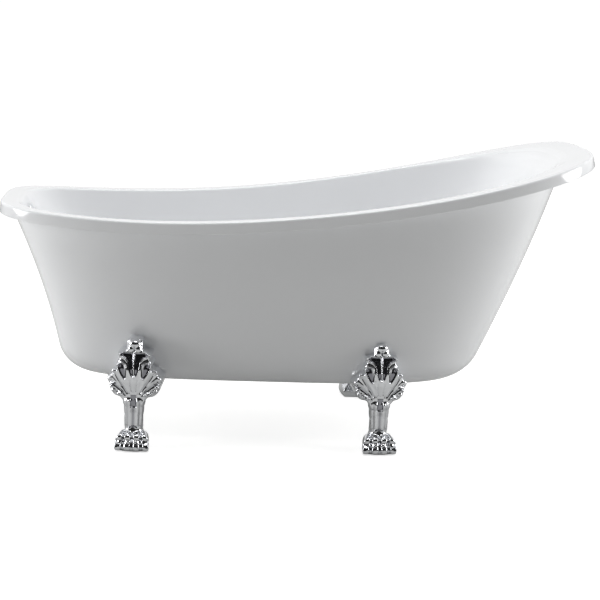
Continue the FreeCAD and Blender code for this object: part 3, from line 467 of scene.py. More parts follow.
    def powers(self, height: np.ndarray) -> tuple[np.ndarray, np.ndarray]:
        """Return the squareness of the low end and of the slipper end at heights."""
        softening = self.softening * (1 - self.filled(height))
        return self.low_power * (1 - softening), self.slipper_power * (1 - softening / 3)

    def rounded(self, height: np.ndarray, base: float, radius: float) -> np.ndarray:
        """Return how far the rounding at a wall's foot draws it in."""
        above = np.clip(height - base, 0, radius)
        return radius - np.sqrt(np.maximum(0, radius ** 2 - (radius - above) ** 2))

    def side_width(self, height: np.ndarray, fullest: float, narrowest: float, floor: float,
                   curve: float) -> np.ndarray:
        """Return the half width of a side wall at heights.

        Args:
            height: heights above the floor of the room.
            fullest: half width at the rim of the slipper end.
            narrowest: half width at the wall's foot.
            floor: height of the wall's foot.
            curve: power of the wall's swell.

        Returns:
            The half widths at mid length.
        """
        left = np.maximum(0, (self.slipper_end - height) / (self.slipper_end - floor))
        return fullest - (fullest - narrowest) * left ** curve

    def skirt_plan(self, height: np.ndarray, skin: float) -> tuple:
        """Return the skirt's plan at heights.

        Args:
            height: heights of the plan.
            skin: how far it is drawn in.

        Returns:
            Reach of the low end and of the slipper end, half width, centre and powers.
        """
        rise = height - self.skirt_base
        low_share = rise / (self.low_end - self.band - self.skirt_base)
        share = rise / (self.slipper_end - self.band - self.skirt_base)
        low_reach = self.half_length - self.skirt_low_overhang - self.skirt_low
        low = self.skirt_low + low_reach * low_share - 4 * self.skirt_low_hollow * low_share * (1 - low_share)
        reach = self.half_length - self.skirt_slipper_overhang - self.skirt_slipper
        slipper = self.skirt_slipper + reach * share + 4 * self.skirt_slipper_swell * share * (1 - share)
        half = self.side_width(height, self.half_width - self.skirt_side_overhang, self.skirt_foot_width,
                               self.skirt_base, self.skirt_side_curve)
        inward = skin + self.rounded(height, self.skirt_base + skin, self.skirt_round - skin)
        centre = -self.skirt_draw * (1 - self.filled(height))
        return low - inward, slipper - inward, half - inward, centre, self.powers(height)

    def basin_plan(self, height: np.ndarray, skin: float) -> tuple:
        """Return the bathing space's plan at heights.

        Args:
            height: heights of the plan.
            skin: how far it is drawn in.

        Returns:
            Reach of the low end and of the slipper end, half width, centre and powers.
        """
        rise = height - self.floor
        low = self.basin_low + rise * math.tan(math.radians(self.basin_low_slope))
        low = low + rise ** 2 / self.basin_low_curve
        slipper = self.basin_slipper + rise * math.tan(math.radians(self.basin_slipper_slope))
        flared = np.clip((height - self.slipper_end + self.flare_height) / self.flare_height, 0, 1)
        slipper = slipper + self.flare * flared ** 2
        half = self.side_width(height, self.half_width - self.basin_side_rim, self.basin_foot_width,
                               self.floor, self.basin_side_curve)
        inward = skin + self.rounded(height, self.floor + skin, self.basin_round - skin)
        centre = -self.basin_draw * (1 - self.filled(height))
        return low - inward, slipper - inward, half - inward, centre, self.powers(height)

    def level_rail(self, plan: Plan, height: float, skin: float) -> np.ndarray:
        """Return the points of a plan at one height.

        Args:
            plan: the wall's plan.
            height: the height.
            skin: how far the wall is drawn in.

        Returns:
            The rail's points.
        """
        level = np.full_like(self.angles, height)
        x, y = self.plan_point(self.angles, *plan(level, skin))
        return np.stack([x, y, level], 1)

    def round_rails(self, plan: Plan, floor: float, radius: float, skin: float) -> list[np.ndarray]:
        """Return the rails of the rounding at the foot of a wall.

        Args:
            plan: the wall's plan.
            floor: height of the wall's foot.
            radius: radius of the rounding.
            skin: how far the wall is drawn in.

        Returns:
            The rails, from the flat bottom upwards.
        """
        turns = range(0, 91, self.round_step)
        levels = [floor + radius * (1 - math.cos(math.radians(angle))) for angle in turns]
        return [self.level_rail(plan, level, skin) for level in levels]

    def rising_rail(self, plan: Plan, start: float, share: float, drop: np.ndarray,
                    skin: float) -> np.ndarray:
        """Return points part of the way up a wall that ends below the rim.

        Args:
            plan: the wall's plan.
            start: height of the wall's foot.
            share: how far up the wall the points lie, from 0 to 1.
            drop: distance of the wall's end from the rim.
            skin: how far the wall is drawn in.

        Returns:
            The rail's points.
        """
        height = np.full_like(self.angles, self.middle)
        for _ in range(self.passes):
            x, y = self.plan_point(self.angles, *plan(height, skin))
            top, slope = self.rim_at(x)
            height = start + (top - drop * np.hypot(1, slope) - start) * share
        return np.stack([x, y, height], 1)

    def rim_rail(self, inset: float, drop: float) -> np.ndarray:
        """Return points of the rim.

        Args:
            inset: how far they lie in from its outline.
            drop: how far they lie down, square to its surface.

        Returns:
            The rail's points.
        """
        powers = (self.low_power, self.slipper_power)
        reach = self.half_length - inset
        x, y = self.plan_point(self.angles, reach + self.shift, reach - self.shift,
                               self.half_width - inset, 0.0, powers)
        top, slope = self.rim_at(x)
        run = np.hypot(1, slope)
        return np.stack([x + drop * slope / run, y, top - drop / run], 1)

    def blend(self, start: np.ndarray, corner: np.ndarray, end: np.ndarray, steps: int) -> list[np.ndarray]:
        """Return rails that round a corner.

        Args:
            start: the rail before the corner.
            corner: the rail at the sharp corner.
            end: the rail after it.
            steps: number of rails between them.

        Returns:
            The rails between start and end.
        """
        rails = []
        for share in np.linspace(0, 1, steps + 2)[1:-1]:
            rails.append(start * (1 - share) ** 2 + corner * 2 * share * (1 - share) + end * share ** 2)
        return rails

    def hole_rails(self, edge: np.ndarray, radius: float, steps: int = 8) -> list[np.ndarray]:
        """Return rails over a flat bottom, from the round waste hole to the bottom's edge.

        Args:
            edge: rail at the bottom's edge.
            radius: radius of the hole.
            steps: number of rails.

        Returns:
            The rails, from the hole outwards.
        """
        centre = np.array([DRAIN / MM, 0.0])
        spokes = edge[:, :2] - centre
        rail = edge.copy()
        rail[:, :2] = centre + spokes / np.linalg.norm(spokes, axis=1, keepdims=True) * radius
        return [rail + (edge - rail) * share for share in np.linspace(0, 1, steps + 1)[:-1]]

    def solid(self, name: str, rails: list[np.ndarray]) -> bpy.types.Object:
        """Return a closed shell whose skin runs over all rails and back to the first.

        Args:
            name: name of the object.
            rails: far halves of the closed rails, in millimetres.

        Returns:
            The shell.
        """
        loops = [np.concatenate([rail, rail[-2:0:-1] * (1, -1, 1)]) for rail in rails]
        points = np.concatenate(loops) * MM
        return make_mesh(name, points, tube_faces(len(loops), len(loops[0]), True))


@dataclass
class Shells:
    """The acrylic basin with its rolled rim, and the skirt around it, in millimetres.

    Args:
        form: the bath's form.
        basin_wall: thickness of the basin's wall.
        rolled: thickness of its lip.
        edge_round: radius of the rim's outer edge.
        crease: radius of the rim's inner edge.
        slipper_crease: the same at the slipper end.
        crease_start: where the inner edge begins to widen, from mid length.
        crease_run: how far it widens on.
        lip_depth: how far the lip hangs down.
        lip_round: radius of the lip's lower edge.
        flange_inset: distance of the skirt's flange from the rim's outline.
        skirt_wall: thickness of the skirt's wall.
        drain_hole: radius of the basin's drain hole.
        waste_hole: radius of the skirt's waste hole.
        wall_steps: rails up a wall.
    """

    form: BathForm
    basin_wall: float = 4.0
    rolled: float = 5.0
    edge_round: float = 7.0
    crease: float = 9.0
    slipper_crease: float = 26.0
    crease_start: float = 250.0
    crease_run: float = 450.0
    lip_depth: float = 29.4
    lip_round: float = 2.0
    flange_inset: float = 5.4
    skirt_wall: float = 4.0
    drain_hole: float = 22.5
    waste_hole: float = 38.0
    wall_steps: int = 44

    def basin(self) -> bpy.types.Object:
        """Return the basin: bathing space, soft inner crease, rounded rim and lip.

        Returns:
            The basin.
        """
        form = self.form
        start = form.floor + form.basin_round
        shares = np.linspace(0, 1, self.wall_steps + 1)[1:]
        opening = form.rising_rail(form.basin_plan, start, 1, 0.0, 0)
        towards = np.clip((opening[:, 0] - self.crease_start) / self.crease_run, 0, 1)
        crease = self.crease + (self.slipper_crease - self.crease) * towards ** 2 * (3 - 2 * towards)
        floor_rails = form.round_rails(form.basin_plan, form.floor, form.basin_round, 0)
        rails = form.hole_rails(floor_rails[0], self.drain_hole) + floor_rails
        rails += [form.rising_rail(form.basin_plan, start, share, crease, 0) for share in shares]
        outline = form.rim_rail(0, 0)
        shelf = outline - opening
        shelf = opening + shelf / np.linalg.norm(shelf, axis=1, keepdims=True) * crease[:, None]
        edge = form.rim_rail(self.edge_round, 0)
        rails += form.blend(rails[-1], opening, shelf, 7) + [shelf, (shelf + edge) / 2, edge]
        side = form.rim_rail(0, self.edge_round)
        rails += form.blend(edge, outline, side, 5) + [side, form.rim_rail(0, self.lip_depth / 2)]
        foot = form.rim_rail(0, self.lip_depth - self.lip_round)
        under = form.rim_rail(self.lip_round, self.lip_depth)
        rails += [foot] + form.blend(foot, form.rim_rail(0, self.lip_depth), under, 3)
        rails += [under, form.rim_rail(self.rolled, self.lip_depth), form.rim_rail(self.rolled, self.rolled)]
        outer = [form.rising_rail(form.basin_plan, start, share, self.rolled, -self.basin_wall)
                 for share in shares]
        rails += outer[::-1]
        below = form.round_rails(form.basin_plan, form.floor - self.basin_wall,
                                 form.basin_round + self.basin_wall, -self.basin_wall)
        rails += below[::-1] + form.hole_rails(below[0], self.drain_hole)[::-1]
        return form.solid("basin_shell", rails)

    def skirt(self) -> bpy.types.Object:
        """Return the skirt: closed bottom with its waste hole, walls and top flange.

        Returns:
            The skirt.
        """
        form = self.form
        start = form.skirt_base + form.skirt_round
        shares = np.linspace(0, 1, self.wall_steps + 1)[1:]
        foot = form.round_rails(form.skirt_plan, form.skirt_base, form.skirt_round, 0)
        rails = form.hole_rails(foot[0], self.waste_hole) + foot
        rails += [form.rising_rail(form.skirt_plan, start, share, form.band, 0) for share in shares]
        seat = form.band - self.skirt_wall
        rails += [form.rim_rail(self.flange_inset, form.band), form.rim_rail(self.flange_inset, seat)]
        inner = [form.rising_rail(form.skirt_plan, start, share, seat, self.skirt_wall) for share in shares]
        floor = form.round_rails(form.skirt_plan, form.skirt_base + self.skirt_wall,
                                 form.skirt_round - self.skirt_wall, self.skirt_wall)
        rails += inner[::-1] + floor[::-1] + form.hole_rails(floor[0], self.waste_hole)[::-1]
        return form.solid("skirt_shell", rails)

    def build(self) -> None:
        """Make and dress both shells."""
        dress(self.basin(), ACRYLIC, Body.TUB, "basin")
        dress(self.skirt(), ACRYLIC, Body.TUB, "skirt")


# ---------------------------------------------------------------- claw feet


def segment_distance(x: np.ndarray, z: np.ndarray, start: tuple, end: tuple) -> np.ndarray:
    """Return the distance of points to a straight line between two points.

    Args:
        x: the points' first coordinates.
        z: their second coordinates.
        start: the line's first end.
        end: its other end.

    Returns:
        The distances.
    """
    dx, dz = end[0] - start[0], end[1] - start[1]
    along = np.clip(((x - start[0]) * dx + (z - start[1]) * dz) / (dx * dx + dz * dz), 0, 1)
    return np.hypot(x - start[0] - along * dx, z - start[1] - along * dz)


def outline_distance(x: np.ndarray, z: np.ndarray, outline: Sequence[tuple]) -> np.ndarray:
    """Return the signed distance of points to a closed outline, negative inside.

    Args:
        x: the points' first coordinates.
        z: their second coordinates.
        outline: corners of the outline.

    Returns:
        The distances.
    """
    nearest = np.full_like(x, 1e9)
    inside = np.zeros(len(x), bool)
    for index, start in enumerate(outline):
        end = outline[(index + 1) % len(outline)]
        nearest = np.minimum(nearest, segment_distance(x, z, start, end))
        crosses = (start[1] > z) != (end[1] > z)
        rise = end[1] - start[1] if end[1] != start[1] else 1e-9
        inside ^= crosses & (x < (end[0] - start[0]) * (z - start[1]) / rise + start[0])
    return np.where(inside, -nearest, nearest)


@dataclass(frozen=True)
class Scoop:
    """A hollow in the carving, with shade painted at its bottom, and a raised rim.

    Args:
        outline: its corners, across the foot and up, in millimetres.
        depth: how deep it is.
        rim: how far its rim stands up.
        slope: width of its wall.
        painted_shade: strength of the shade painted at its bottom, from 0 to 1.
    """

    outline: tuple
    depth: float
    rim: float
    slope: float = 3.0
    painted_shade: float = 1.0


@dataclass(frozen=True)
class Vein:
    """A groove or, with negative depth, a ridge along a line of points.

    Args:
        line: its points, across the foot and up, in millimetres.
        width: how wide it is.
        depth: how deep it is.
        painted_shade: strength of the shade painted along it, from 0 to 1.
    """

    line: tuple
    width: float
    depth: float
    painted_shade: float = 0.0


@dataclass
class ClawFoot:
    """One claw foot: the CAD casting, remeshed finely and carved in relief.

    Args:
        node: the CAD node that it replaces.
        place: distance of the foot from mid length.
        splay: degrees that the foot is turned.
        side: -1 for the near side and 1 for the far side.
        front: distance of the toes from the bath's middle line.
        turn_setback: how far behind the toes the foot is turned about.
        voxel: size of the fine grid, in metres.
        smoothing: how often the finished form is smoothed.
        paw_top: height of the paw.
        stock_depth: how far back the casting's front reaches.
        carved_depth: how far back the carving reaches.
        carved_fade: over how much of that it fades.
        neck: lowest and highest point of the neck.
        neck_half: half its width.
        collar: height and half width of the collar under the finial.
        shoulder: lowest point, highest point and half width of the paw's shoulders.
        rim_spread: width of a scoop's rim.
        knuckle: size, depth and strength of the painted shade in the hollow between two knuckles.
    """

    node: str
    place: float
    splay: float
    side: int
    front: float = 315.0
    turn_setback: float = 50.0
    voxel: float = 0.00145
    smoothing: int = 7
    paw_top: float = 56.0
    stock_depth: float = 92.0
    carved_depth: float = 86.0
    carved_fade: float = 12.0
    neck: tuple[float, float] = (112.0, 150.0)
    neck_half: float = 32.0
    collar: tuple[float, float] = (246.0, 19.0)
    shoulder: tuple[float, float, float] = (26.0, 54.0, 20.0)
    rim_spread: float = 1.8
    knuckle: tuple[float, float, float] = (3.2, 1.2, 0.75)

    SCOOPS = (
        Scoop(((0, 247), (26, 247), (36, 244), (33, 236), (22, 232), (15, 223), (13, 206), (8, 191),
               (0, 187)), 4.0, 1.4),
        Scoop(((19, 219), (31, 222), (42, 218), (39, 205), (32, 191), (24, 180), (19, 183), (17, 201)),
              4.0, 1.4),
        Scoop(((-1, 141), (7.5, 141), (7.5, 109), (-1, 109)), 3.0, 0.5, 1.2, 0.9),
    )
    VEINS = (
        Vein(((0, 244), (0, 150)), 2.0, -2.6),
        Vein(((0, 261), (0, 249)), 1.8, 2.0, 0.4),
        Vein(((38, 226), (24, 222), (19, 205), (14, 175), (8, 150)), 2.8, -1.8),
        Vein(((46, 212), (34, 186), (24, 168), (14, 148)), 3.0, -1.9),
        Vein(((52, 200), (38, 178), (26, 162), (16, 145)), 1.9, 1.7, 0.3),
        Vein(((62, 186), (46, 172), (30, 157), (18, 142)), 3.2, -1.9),
        Vein(((66, 172), (48, 163), (32, 151), (20, 139)), 1.9, 1.9, 0.35),
        Vein(((62, 160), (46, 156), (32, 146), (22, 136)), 2.4, -1.6),
        Vein(((58, 150), (44, 147), (32, 141)), 1.6, 1.8, 0.35),
        Vein(((9, 180), (6, 152)), 1.6, 1.8, 0.25),
        Vein(((0, 108), (0, 58)), 4.0, 1.6, 0.8),
        Vein(((11, 126), (10, 92), (10, 60)), 2.6, -2.2),
        Vein(((17, 124), (16, 92), (15, 62)), 2.0, 1.8, 0.3),
        Vein(((30, 140), (26, 126), (23, 110)), 3.0, -1.2),
    )
    KNUCKLES = ((0.0, 44.0), (19.5, 42.5), (0.0, 31.0), (19.5, 30.5), (0.0, 18.0), (19.5, 17.5), (38.5, 30.0),
                (38.5, 17.0))
    FRONT = ((56.0, 26.5), (70.0, 26.5), (95.0, 28.0), (112.0, 30.0), (128.0, 31.0), (150.0, 29.0),
             (175.0, 24.0), (205.0, 23.0), (240.0, 31.0), (290.0, 50.0))
    CURVE = ((60.0, 27.0), (112.0, 30.0), (136.0, 95.0))
    BULGES = (
        (8.6, 44, 254.5, 10.4, 12, 11.0), (0, 47, 267, 17.0, 15, 12.5),
        (34, 37, 242, 5.5, 7, 5.0), (38, 34, 216, 5.5, 8, 5.0),
        (50, 40, 198, 6, 8, 7), (61, 47, 178, 7, 9, 8), (56, 46, 160, 7, 9, 6), (50, 46, 149, 9, 10, 6.5),
        (34, 38, 142, 9, 9, 6),
        (9, 48, 104, 16.5, 18, 34), (11, 48, 122, 17.5, 21, 20),
        (8.5, 24, 39, 8.8, 12, 7.5), (25.5, 27, 38, 8.4, 12, 7.2),
        (9.5, 16, 26, 9.6, 13, 7.2), (29, 19, 25.5, 9.4, 13, 7.0),
        (9.75, 13, 12, 9.5, 11, 9.5), (30, 16, 12, 9.4, 11, 9.2),
    )

    def local(self, points: np.ndarray) -> tuple[np.ndarray, np.ndarray, np.ndarray]:
        """Return foot coordinates in millimetres.

        Args:
            points: places in the bath's own frame, in metres.

        Returns:
            Distances across the foot, distances behind its toes, and heights.
        """
        x = points[:, 0] / MM - self.place
        y = points[:, 1] / MM * self.side - self.front + self.turn_setback
        angle = -math.radians(self.splay)
        across = x * math.cos(angle) + y * math.sin(angle)
        out = -x * math.sin(angle) + y * math.cos(angle)
        return across, self.turn_setback - out, points[:, 2] / MM

    def relief(self, x: np.ndarray, z: np.ndarray) -> tuple[np.ndarray, np.ndarray]:
        """Return the carving at points of the foot's front.

        Args:
            x: distances across the foot, in millimetres.
            z: heights, in millimetres.

        Returns:
            How deep the carving cuts in, and how strong the shade painted in it is.
        """
        x = np.abs(x)
        depth = np.zeros_like(x)
        # painted shade in the hollows: scoops, grooves and knuckles are darkened, ridges clear it
        painted_shade = np.zeros_like(x)
        for scoop in self.SCOOPS:
            distance = outline_distance(x, z, scoop.outline)
            share = np.clip(-distance / scoop.slope, 0, 1)
            share = share * share * (3 - 2 * share)
            depth += scoop.depth * share - scoop.rim * np.exp(-(distance / self.rim_spread) ** 2)
            painted_shade = np.maximum(painted_shade, scoop.painted_shade * share)
        for vein in self.VEINS:
            distance = np.full_like(x, 1e9)
            for start, end in zip(vein.line, vein.line[1:]):
                distance = np.minimum(distance, segment_distance(x, z, start, end))
            share = np.exp(-(distance / vein.width) ** 2)
            depth += vein.depth * share
            if vein.depth < 0:
                painted_shade *= 1 - np.clip(share * 1.2, 0, 1)
            else:
                painted_shade = np.maximum(painted_shade, vein.painted_shade * share)
        size, sink, shade_strength = self.knuckle
        for centre in self.KNUCKLES:
            share = np.exp(-(np.hypot(x - centre[0], z - centre[1]) / size) ** 2)
            depth += sink * share
            painted_shade = np.maximum(painted_shade, shade_strength * share)
        return depth, painted_shade

    def world(self, across: np.ndarray, behind: np.ndarray, height: np.ndarray) -> np.ndarray:
        """Return places in the bath's own frame, in metres.

        Args:
            across: distances across the foot, in millimetres.
            behind: distances behind its toes.
            height: heights.

        Returns:
            One row for each place.
        """
        out = self.turn_setback - behind
        angle = math.radians(self.splay)
        x = across * math.cos(angle) + out * math.sin(angle) + self.place
        y = (out * math.cos(angle) - across * math.sin(angle) + self.front - self.turn_setback) * self.side
        return np.stack([x, y, height], 1) * MM

    def remeshed(self, foot: bpy.types.Object, smoothing: int) -> bpy.types.Object:
        """Return the foot on a fine, even grid.

        Args:
            foot: the foot, which may be made of several closed forms.
            smoothing: how many times it is smoothed.

        Returns:
            The same foot with its new mesh.
        """
        remesh = foot.modifiers.new("grid", "REMESH")
        remesh.mode = "VOXEL"
        remesh.voxel_size = self.voxel
        soft = foot.modifiers.new("soft", "SMOOTH")
        soft.factor = 0.5
        soft.iterations = smoothing
        return settle(foot)

    def facing(self, mesh: bpy.types.Mesh) -> np.ndarray:
        """Return how much each vertex faces outwards.

        Args:
            mesh: the foot's mesh.

        Returns:
            A share from 0 to 1 for each vertex.
        """
        normals = np.empty(len(mesh.vertices) * 3, np.float32)
        mesh.vertices.foreach_get("normal", normals)
        return np.clip(normals.reshape(-1, 3)[:, 1] * self.side * 1.7 - 0.25, 0, 1)

    def casting(self) -> bpy.types.Object:
        """Return the CAD casting with its stepped leaves drawn onto one curved front.

        Returns:
            The casting on a fine grid.
        """
        mesh = frame["nodes"][self.node].data.copy()
        work = bmesh.new()
        work.from_mesh(mesh)
        bmesh.ops.remove_doubles(work, verts=work.verts, dist=1e-6)
        work.to_mesh(mesh)
        work.free()
        mesh.materials.clear()
        foot = bpy.data.objects.new(f"{self.node}_carved", mesh)
        bpy.context.scene.collection.objects.link(foot)
        self.remeshed(foot, 3)
        across, behind, height = self.local(places(foot.data))
        target = np.interp(height, *zip(*self.FRONT))
        curve = np.interp(height, *zip(*self.CURVE))
        target = target + curve - np.sqrt(curve ** 2 - np.clip(across, -0.85 * curve, 0.85 * curve) ** 2)
        above = np.clip((height - self.paw_top - 2) / 5, 0, 1)
        share = np.where(behind < target, 1.0, self.facing(foot.data) * (behind < self.stock_depth)) * above
        behind = behind + (target - behind) * share
        moved = self.world(self.drawn_in(across, height), behind, height)
        foot.data.vertices.foreach_set("co", moved.astype(np.float32).ravel())
        neck = (height > self.neck[0]) & (height < self.neck[1]) & (np.abs(across) < self.neck_half)
        return self.softened(foot, (height < self.paw_top) | neck)

    def drawn_in(self, across: np.ndarray, height: np.ndarray) -> np.ndarray:
        """Return the distances across with the collar under the finial and the paw's shoulders drawn in.

        Args:
            across: distances across the foot, in millimetres.
            height: heights of the same points.

        Returns:
            The new distances across.
        """
        collar_height, collar_half = self.collar
        low, high, shoulder_half = self.shoulder
        collar = np.clip((height - collar_height) / 5, 0, 1) * 0.9
        wide = np.maximum(np.abs(across) - collar_half, 0)
        shoulder = np.clip((height - low) / 26, 0, 1) ** 2 * (height < high) * 0.75
        broad = np.maximum(np.abs(across) - shoulder_half, 0)
        return across - np.sign(across) * (wide * collar + broad * shoulder)

    def softened(self, foot: bpy.types.Object, chosen: np.ndarray) -> bpy.types.Object:
        """Return the foot with some vertices smoothed into rounded forms.

        Args:
            foot: the foot.
            chosen: whether each vertex is smoothed.

        Returns:
            The same foot.
        """
        group = foot.vertex_groups.new(name="soft")
        group.add(np.nonzero(chosen)[0].tolist(), 1.0, "REPLACE")
        soft = foot.modifiers.new("round", "SMOOTH")
        soft.vertex_group = "soft"
        soft.factor = 0.6
        soft.iterations = 24
        settle(foot)
        foot.vertex_groups.clear()
        return foot

    def swell(self, foot: bpy.types.Object) -> bpy.types.Object:
        """Return the foot with its rounded forms added: finial, leaf tips, shaft and toes.

        Args:
            foot: the casting.

        Returns:
            The same foot with one skin over all forms.
        """
        work = bmesh.new()
        work.from_mesh(foot.data)
        for x, behind, z, wide, deep, tall in self.BULGES:
            for sign in ((-1, 1) if x else (1,)):
                made = bmesh.ops.create_icosphere(work, subdivisions=3, radius=1.0)["verts"]
                ball = np.array([vertex.co for vertex in made])
                across = x * sign + ball[:, 0] * wide
                spots = self.world(across, behind + ball[:, 1] * deep, z + ball[:, 2] * tall)
                for vertex, spot in zip(made, spots):
                    vertex.co = spot
        bmesh.ops.recalc_face_normals(work, faces=work.faces)
        work.to_mesh(foot.data)
        work.free()
        return self.remeshed(foot, self.smoothing)

    def build(self) -> None:
        """Carve the casting and dress it."""
        foot = self.swell(self.casting())
        mesh = foot.data
        points = places(mesh)
        across, behind, height = self.local(points)
        depth, painted_shade = self.relief(across, height)
        facing = self.facing(mesh) * np.clip((self.carved_depth - behind) / self.carved_fade, 0, 1)
        points[:, 1] -= depth * facing * MM * self.side
        mesh.vertices.foreach_set("co", points.astype(np.float32).ravel())
        # painted shade: the carving's shade goes into the colour through this attribute
        shade = mesh.attributes.new("carving_shade", "FLOAT", "POINT")
        shade.data.foreach_set("value", (painted_shade * facing).astype(np.float32))
        mesh.update()
        mesh.shade_smooth()
        dress(foot, CHROME, Body.TUB, self.node)


# ---------------------------------------------------------------- turned fittings


def lathe(name: str, profile: Sequence[tuple[float, float]], centre: Vector, axis: Vector = Vector((0, 0, 1)),
          segments: int = 96) -> bpy.types.Object:
    """Turn a closed profile round an axis.

    Args:
        name: name of the object.
        profile: radius and height of each corner, in millimetres.
        centre: foot of the axis, in metres.
        axis: direction of the axis.
        segments: faces round the axis.

    Returns:
        The turned piece.
    """
    turn = np.linspace(0, 2 * math.pi, segments, endpoint=False)
    rings = []
    for radius, height in profile:
        ring = np.stack([radius * np.cos(turn), radius * np.sin(turn), np.full_like(turn, height)], 1)
        rings.append(ring * MM)
    points = np.concatenate(rings)
    rotation = np.array(axis.to_track_quat("Z", "Y").to_matrix())
    points = points @ rotation.T + np.array(centre)
    return make_mesh(name, points, tube_faces(len(rings), segments, True), FITTING_CREASE)


def hexagonal(name: str, flats: float, rings: Sequence[tuple[float, float]],
              centre: Vector) -> bpy.types.Object:
    """Make an upright piece with six flats, such as a nut, from closed rings round its axis.

    Args:
        name: name of the object.
        flats: width across the flats, in millimetres.
        rings: the radius that holds each ring in, and its height, in millimetres.
        centre: foot of the axis, in metres.

    Returns:
        The piece.
    """
    turn = np.linspace(0, 2 * math.pi, 72, endpoint=False)
    sixth = math.pi / 3
    flat = flats / 2 / np.cos((turn + sixth / 2) % sixth - sixth / 2)
    points = []
    for limit, height in rings:
        radius = np.minimum(flat, limit)
        points.append(np.stack([radius * np.sin(turn), radius * np.cos(turn), np.full_like(turn, height)], 1))
    faces = tube_faces(len(rings), len(turn), True)
    return make_mesh(name, np.concatenate(points) * MM + np.array(centre), faces, FITTING_CREASE)


@dataclass
class RisingPlug:
    """The plug's domed cap and the seal under it, in millimetres.

    Args:
        seat: height of the cap's lower face when the plug is down.
        radius: the cap's radius.
        seal_radius: inner radius of the seal.
        seal_size: the seal's width and half height.
    """

    seat: float = 208.8
    radius: float = 30.0
    seal_radius: float = 20.6
    seal_size: tuple[float, float] = (5.3, 0.95)

    def build(self) -> None:
        """Make the cap and seal."""
        centre = Vector((DRAIN, 0, 0))
        seat, r = self.seat, self.radius
        dome = [(r * math.sin(t), seat + 5 + 2.4 * math.cos(t)) for t in np.linspace(0.02, 1.2, 12)]
        cap = [(0.01, seat), (20.2, seat), (20.4, seat + 2), (r - 0.6, seat + 2), (r, seat + 2.6),
               (r, seat + 4.0), (r - 0.7, seat + 5.3)]
        dress(lathe("plug_cap_domed", cap + dome[::-1], centre), CHROME, Body.PLUG, "plug_cap")
        width, half = self.seal_size
        seal = [(self.seal_radius + width * (1 + math.cos(t)) / 2, seat + 1 + half * math.sin(t))
                for t in np.linspace(0, 2 * math.pi, 24, endpoint=False)]
        dress(lathe("plug_seal_ring", seal, centre), RUBBER, Body.PLUG, "plug_seal")


@dataclass
class Overflow:
    """The domed overflow plate with the slots in its lower edge, in millimetres.

    Args:
        form: the bath's form.
        height: height of the plate's middle.
        radius: the plate's radius.
        turns: degrees of each slot from the lowest point.
        slot_reach: where a slot begins and ends, from the plate's middle.
        slot_half: half a slot's width.
        slot_heights: its lowest and highest point above the wall.
    """

    form: BathForm
    height: float = 545.0
    radius: float = 28.0
    turns: tuple[float, ...] = (-32.0, 0.0, 32.0)
    slot_reach: tuple[float, float] = (19.0, 31.0)
    slot_half: float = 4.0
    slot_heights: tuple[float, float] = (1.5, 5.5)

    def seat(self) -> Matrix:
        """Return the plate's place on the low end wall.

        Returns:
            The place, its Z into the bath and its X down the wall.
        """
        step = 0.1
        low, above = (float(self.form.basin_plan(np.array(height), 0)[0])
                      for height in (self.height, self.height + step))
        recline = math.atan((above - low) / step)
        axis = Vector((math.cos(recline), 0, math.sin(recline)))
        down = Vector((math.sin(recline), 0, -math.cos(recline)))
        turn = Matrix((down, axis.cross(down), axis)).transposed().to_4x4()
        return Matrix.Translation((-low * MM, 0, self.height * MM)) @ turn

    def slotted(self, plate: bpy.types.Object, seat: Matrix) -> bpy.types.Object:
        """Cut the slots in the plate's lower edge.

        Args:
            plate: the plate without slots.
            seat: the place that the slots are turned about.

        Returns:
            The plate with its slots.
        """
        sideways = (-self.slot_half, self.slot_half)
        corners = np.array([(x, y, z) for x in self.slot_reach for y in sideways
                            for z in self.slot_heights]) * MM
        sides = [(0, 1, 3, 2), (4, 6, 7, 5), (0, 4, 5, 1), (2, 3, 7, 6), (0, 2, 6, 4), (1, 5, 7, 3)]
        points, faces = [], []
        for index, turn in enumerate(self.turns):
            spin = seat @ Matrix.Rotation(math.radians(turn), 4, "Z")
            points += [tuple(spin @ Vector(corner)) for corner in corners]
            faces += [tuple(8 * index + corner for corner in side) for side in sides]
        cutter = make_mesh("slot_cutter", np.array(points), faces)
        cut = plate.modifiers.new("slots", "BOOLEAN")
        cut.operation = "DIFFERENCE"
        cut.solver = "EXACT"
        cut.object = cutter
        settle(plate)
        bpy.data.objects.remove(cutter)
        return plate

    def build(self) -> None:
        """Make the plate and dress it."""
        seat = self.seat()
        centre, axis = seat.translation, seat.col[2].to_3d()
        r = self.radius
        dome = [(r, 5.4), (r - 0.4, 6.6), (r - 1.6, 7.7), (r - 5, 9.1), (r - 9, 9.8), (r - 13, 10.0),
                (9.5, 10.0), (8.0, 9.2), (6.4, 9.0), (2.6, 9.0)]
        profile = [(r - 3, 0), (r, 0)] + dome + [(2.6, 6), (r - 3, 6)]
        plate = self.slotted(lathe("overflow_plate_domed", profile, centre, axis), seat)
        plate.data.shade_smooth()
        plate.data.set_sharp_from_angle(angle=math.radians(FITTING_CREASE))
        dress(plate, CHROME, Body.TUB, "overflow_plate")


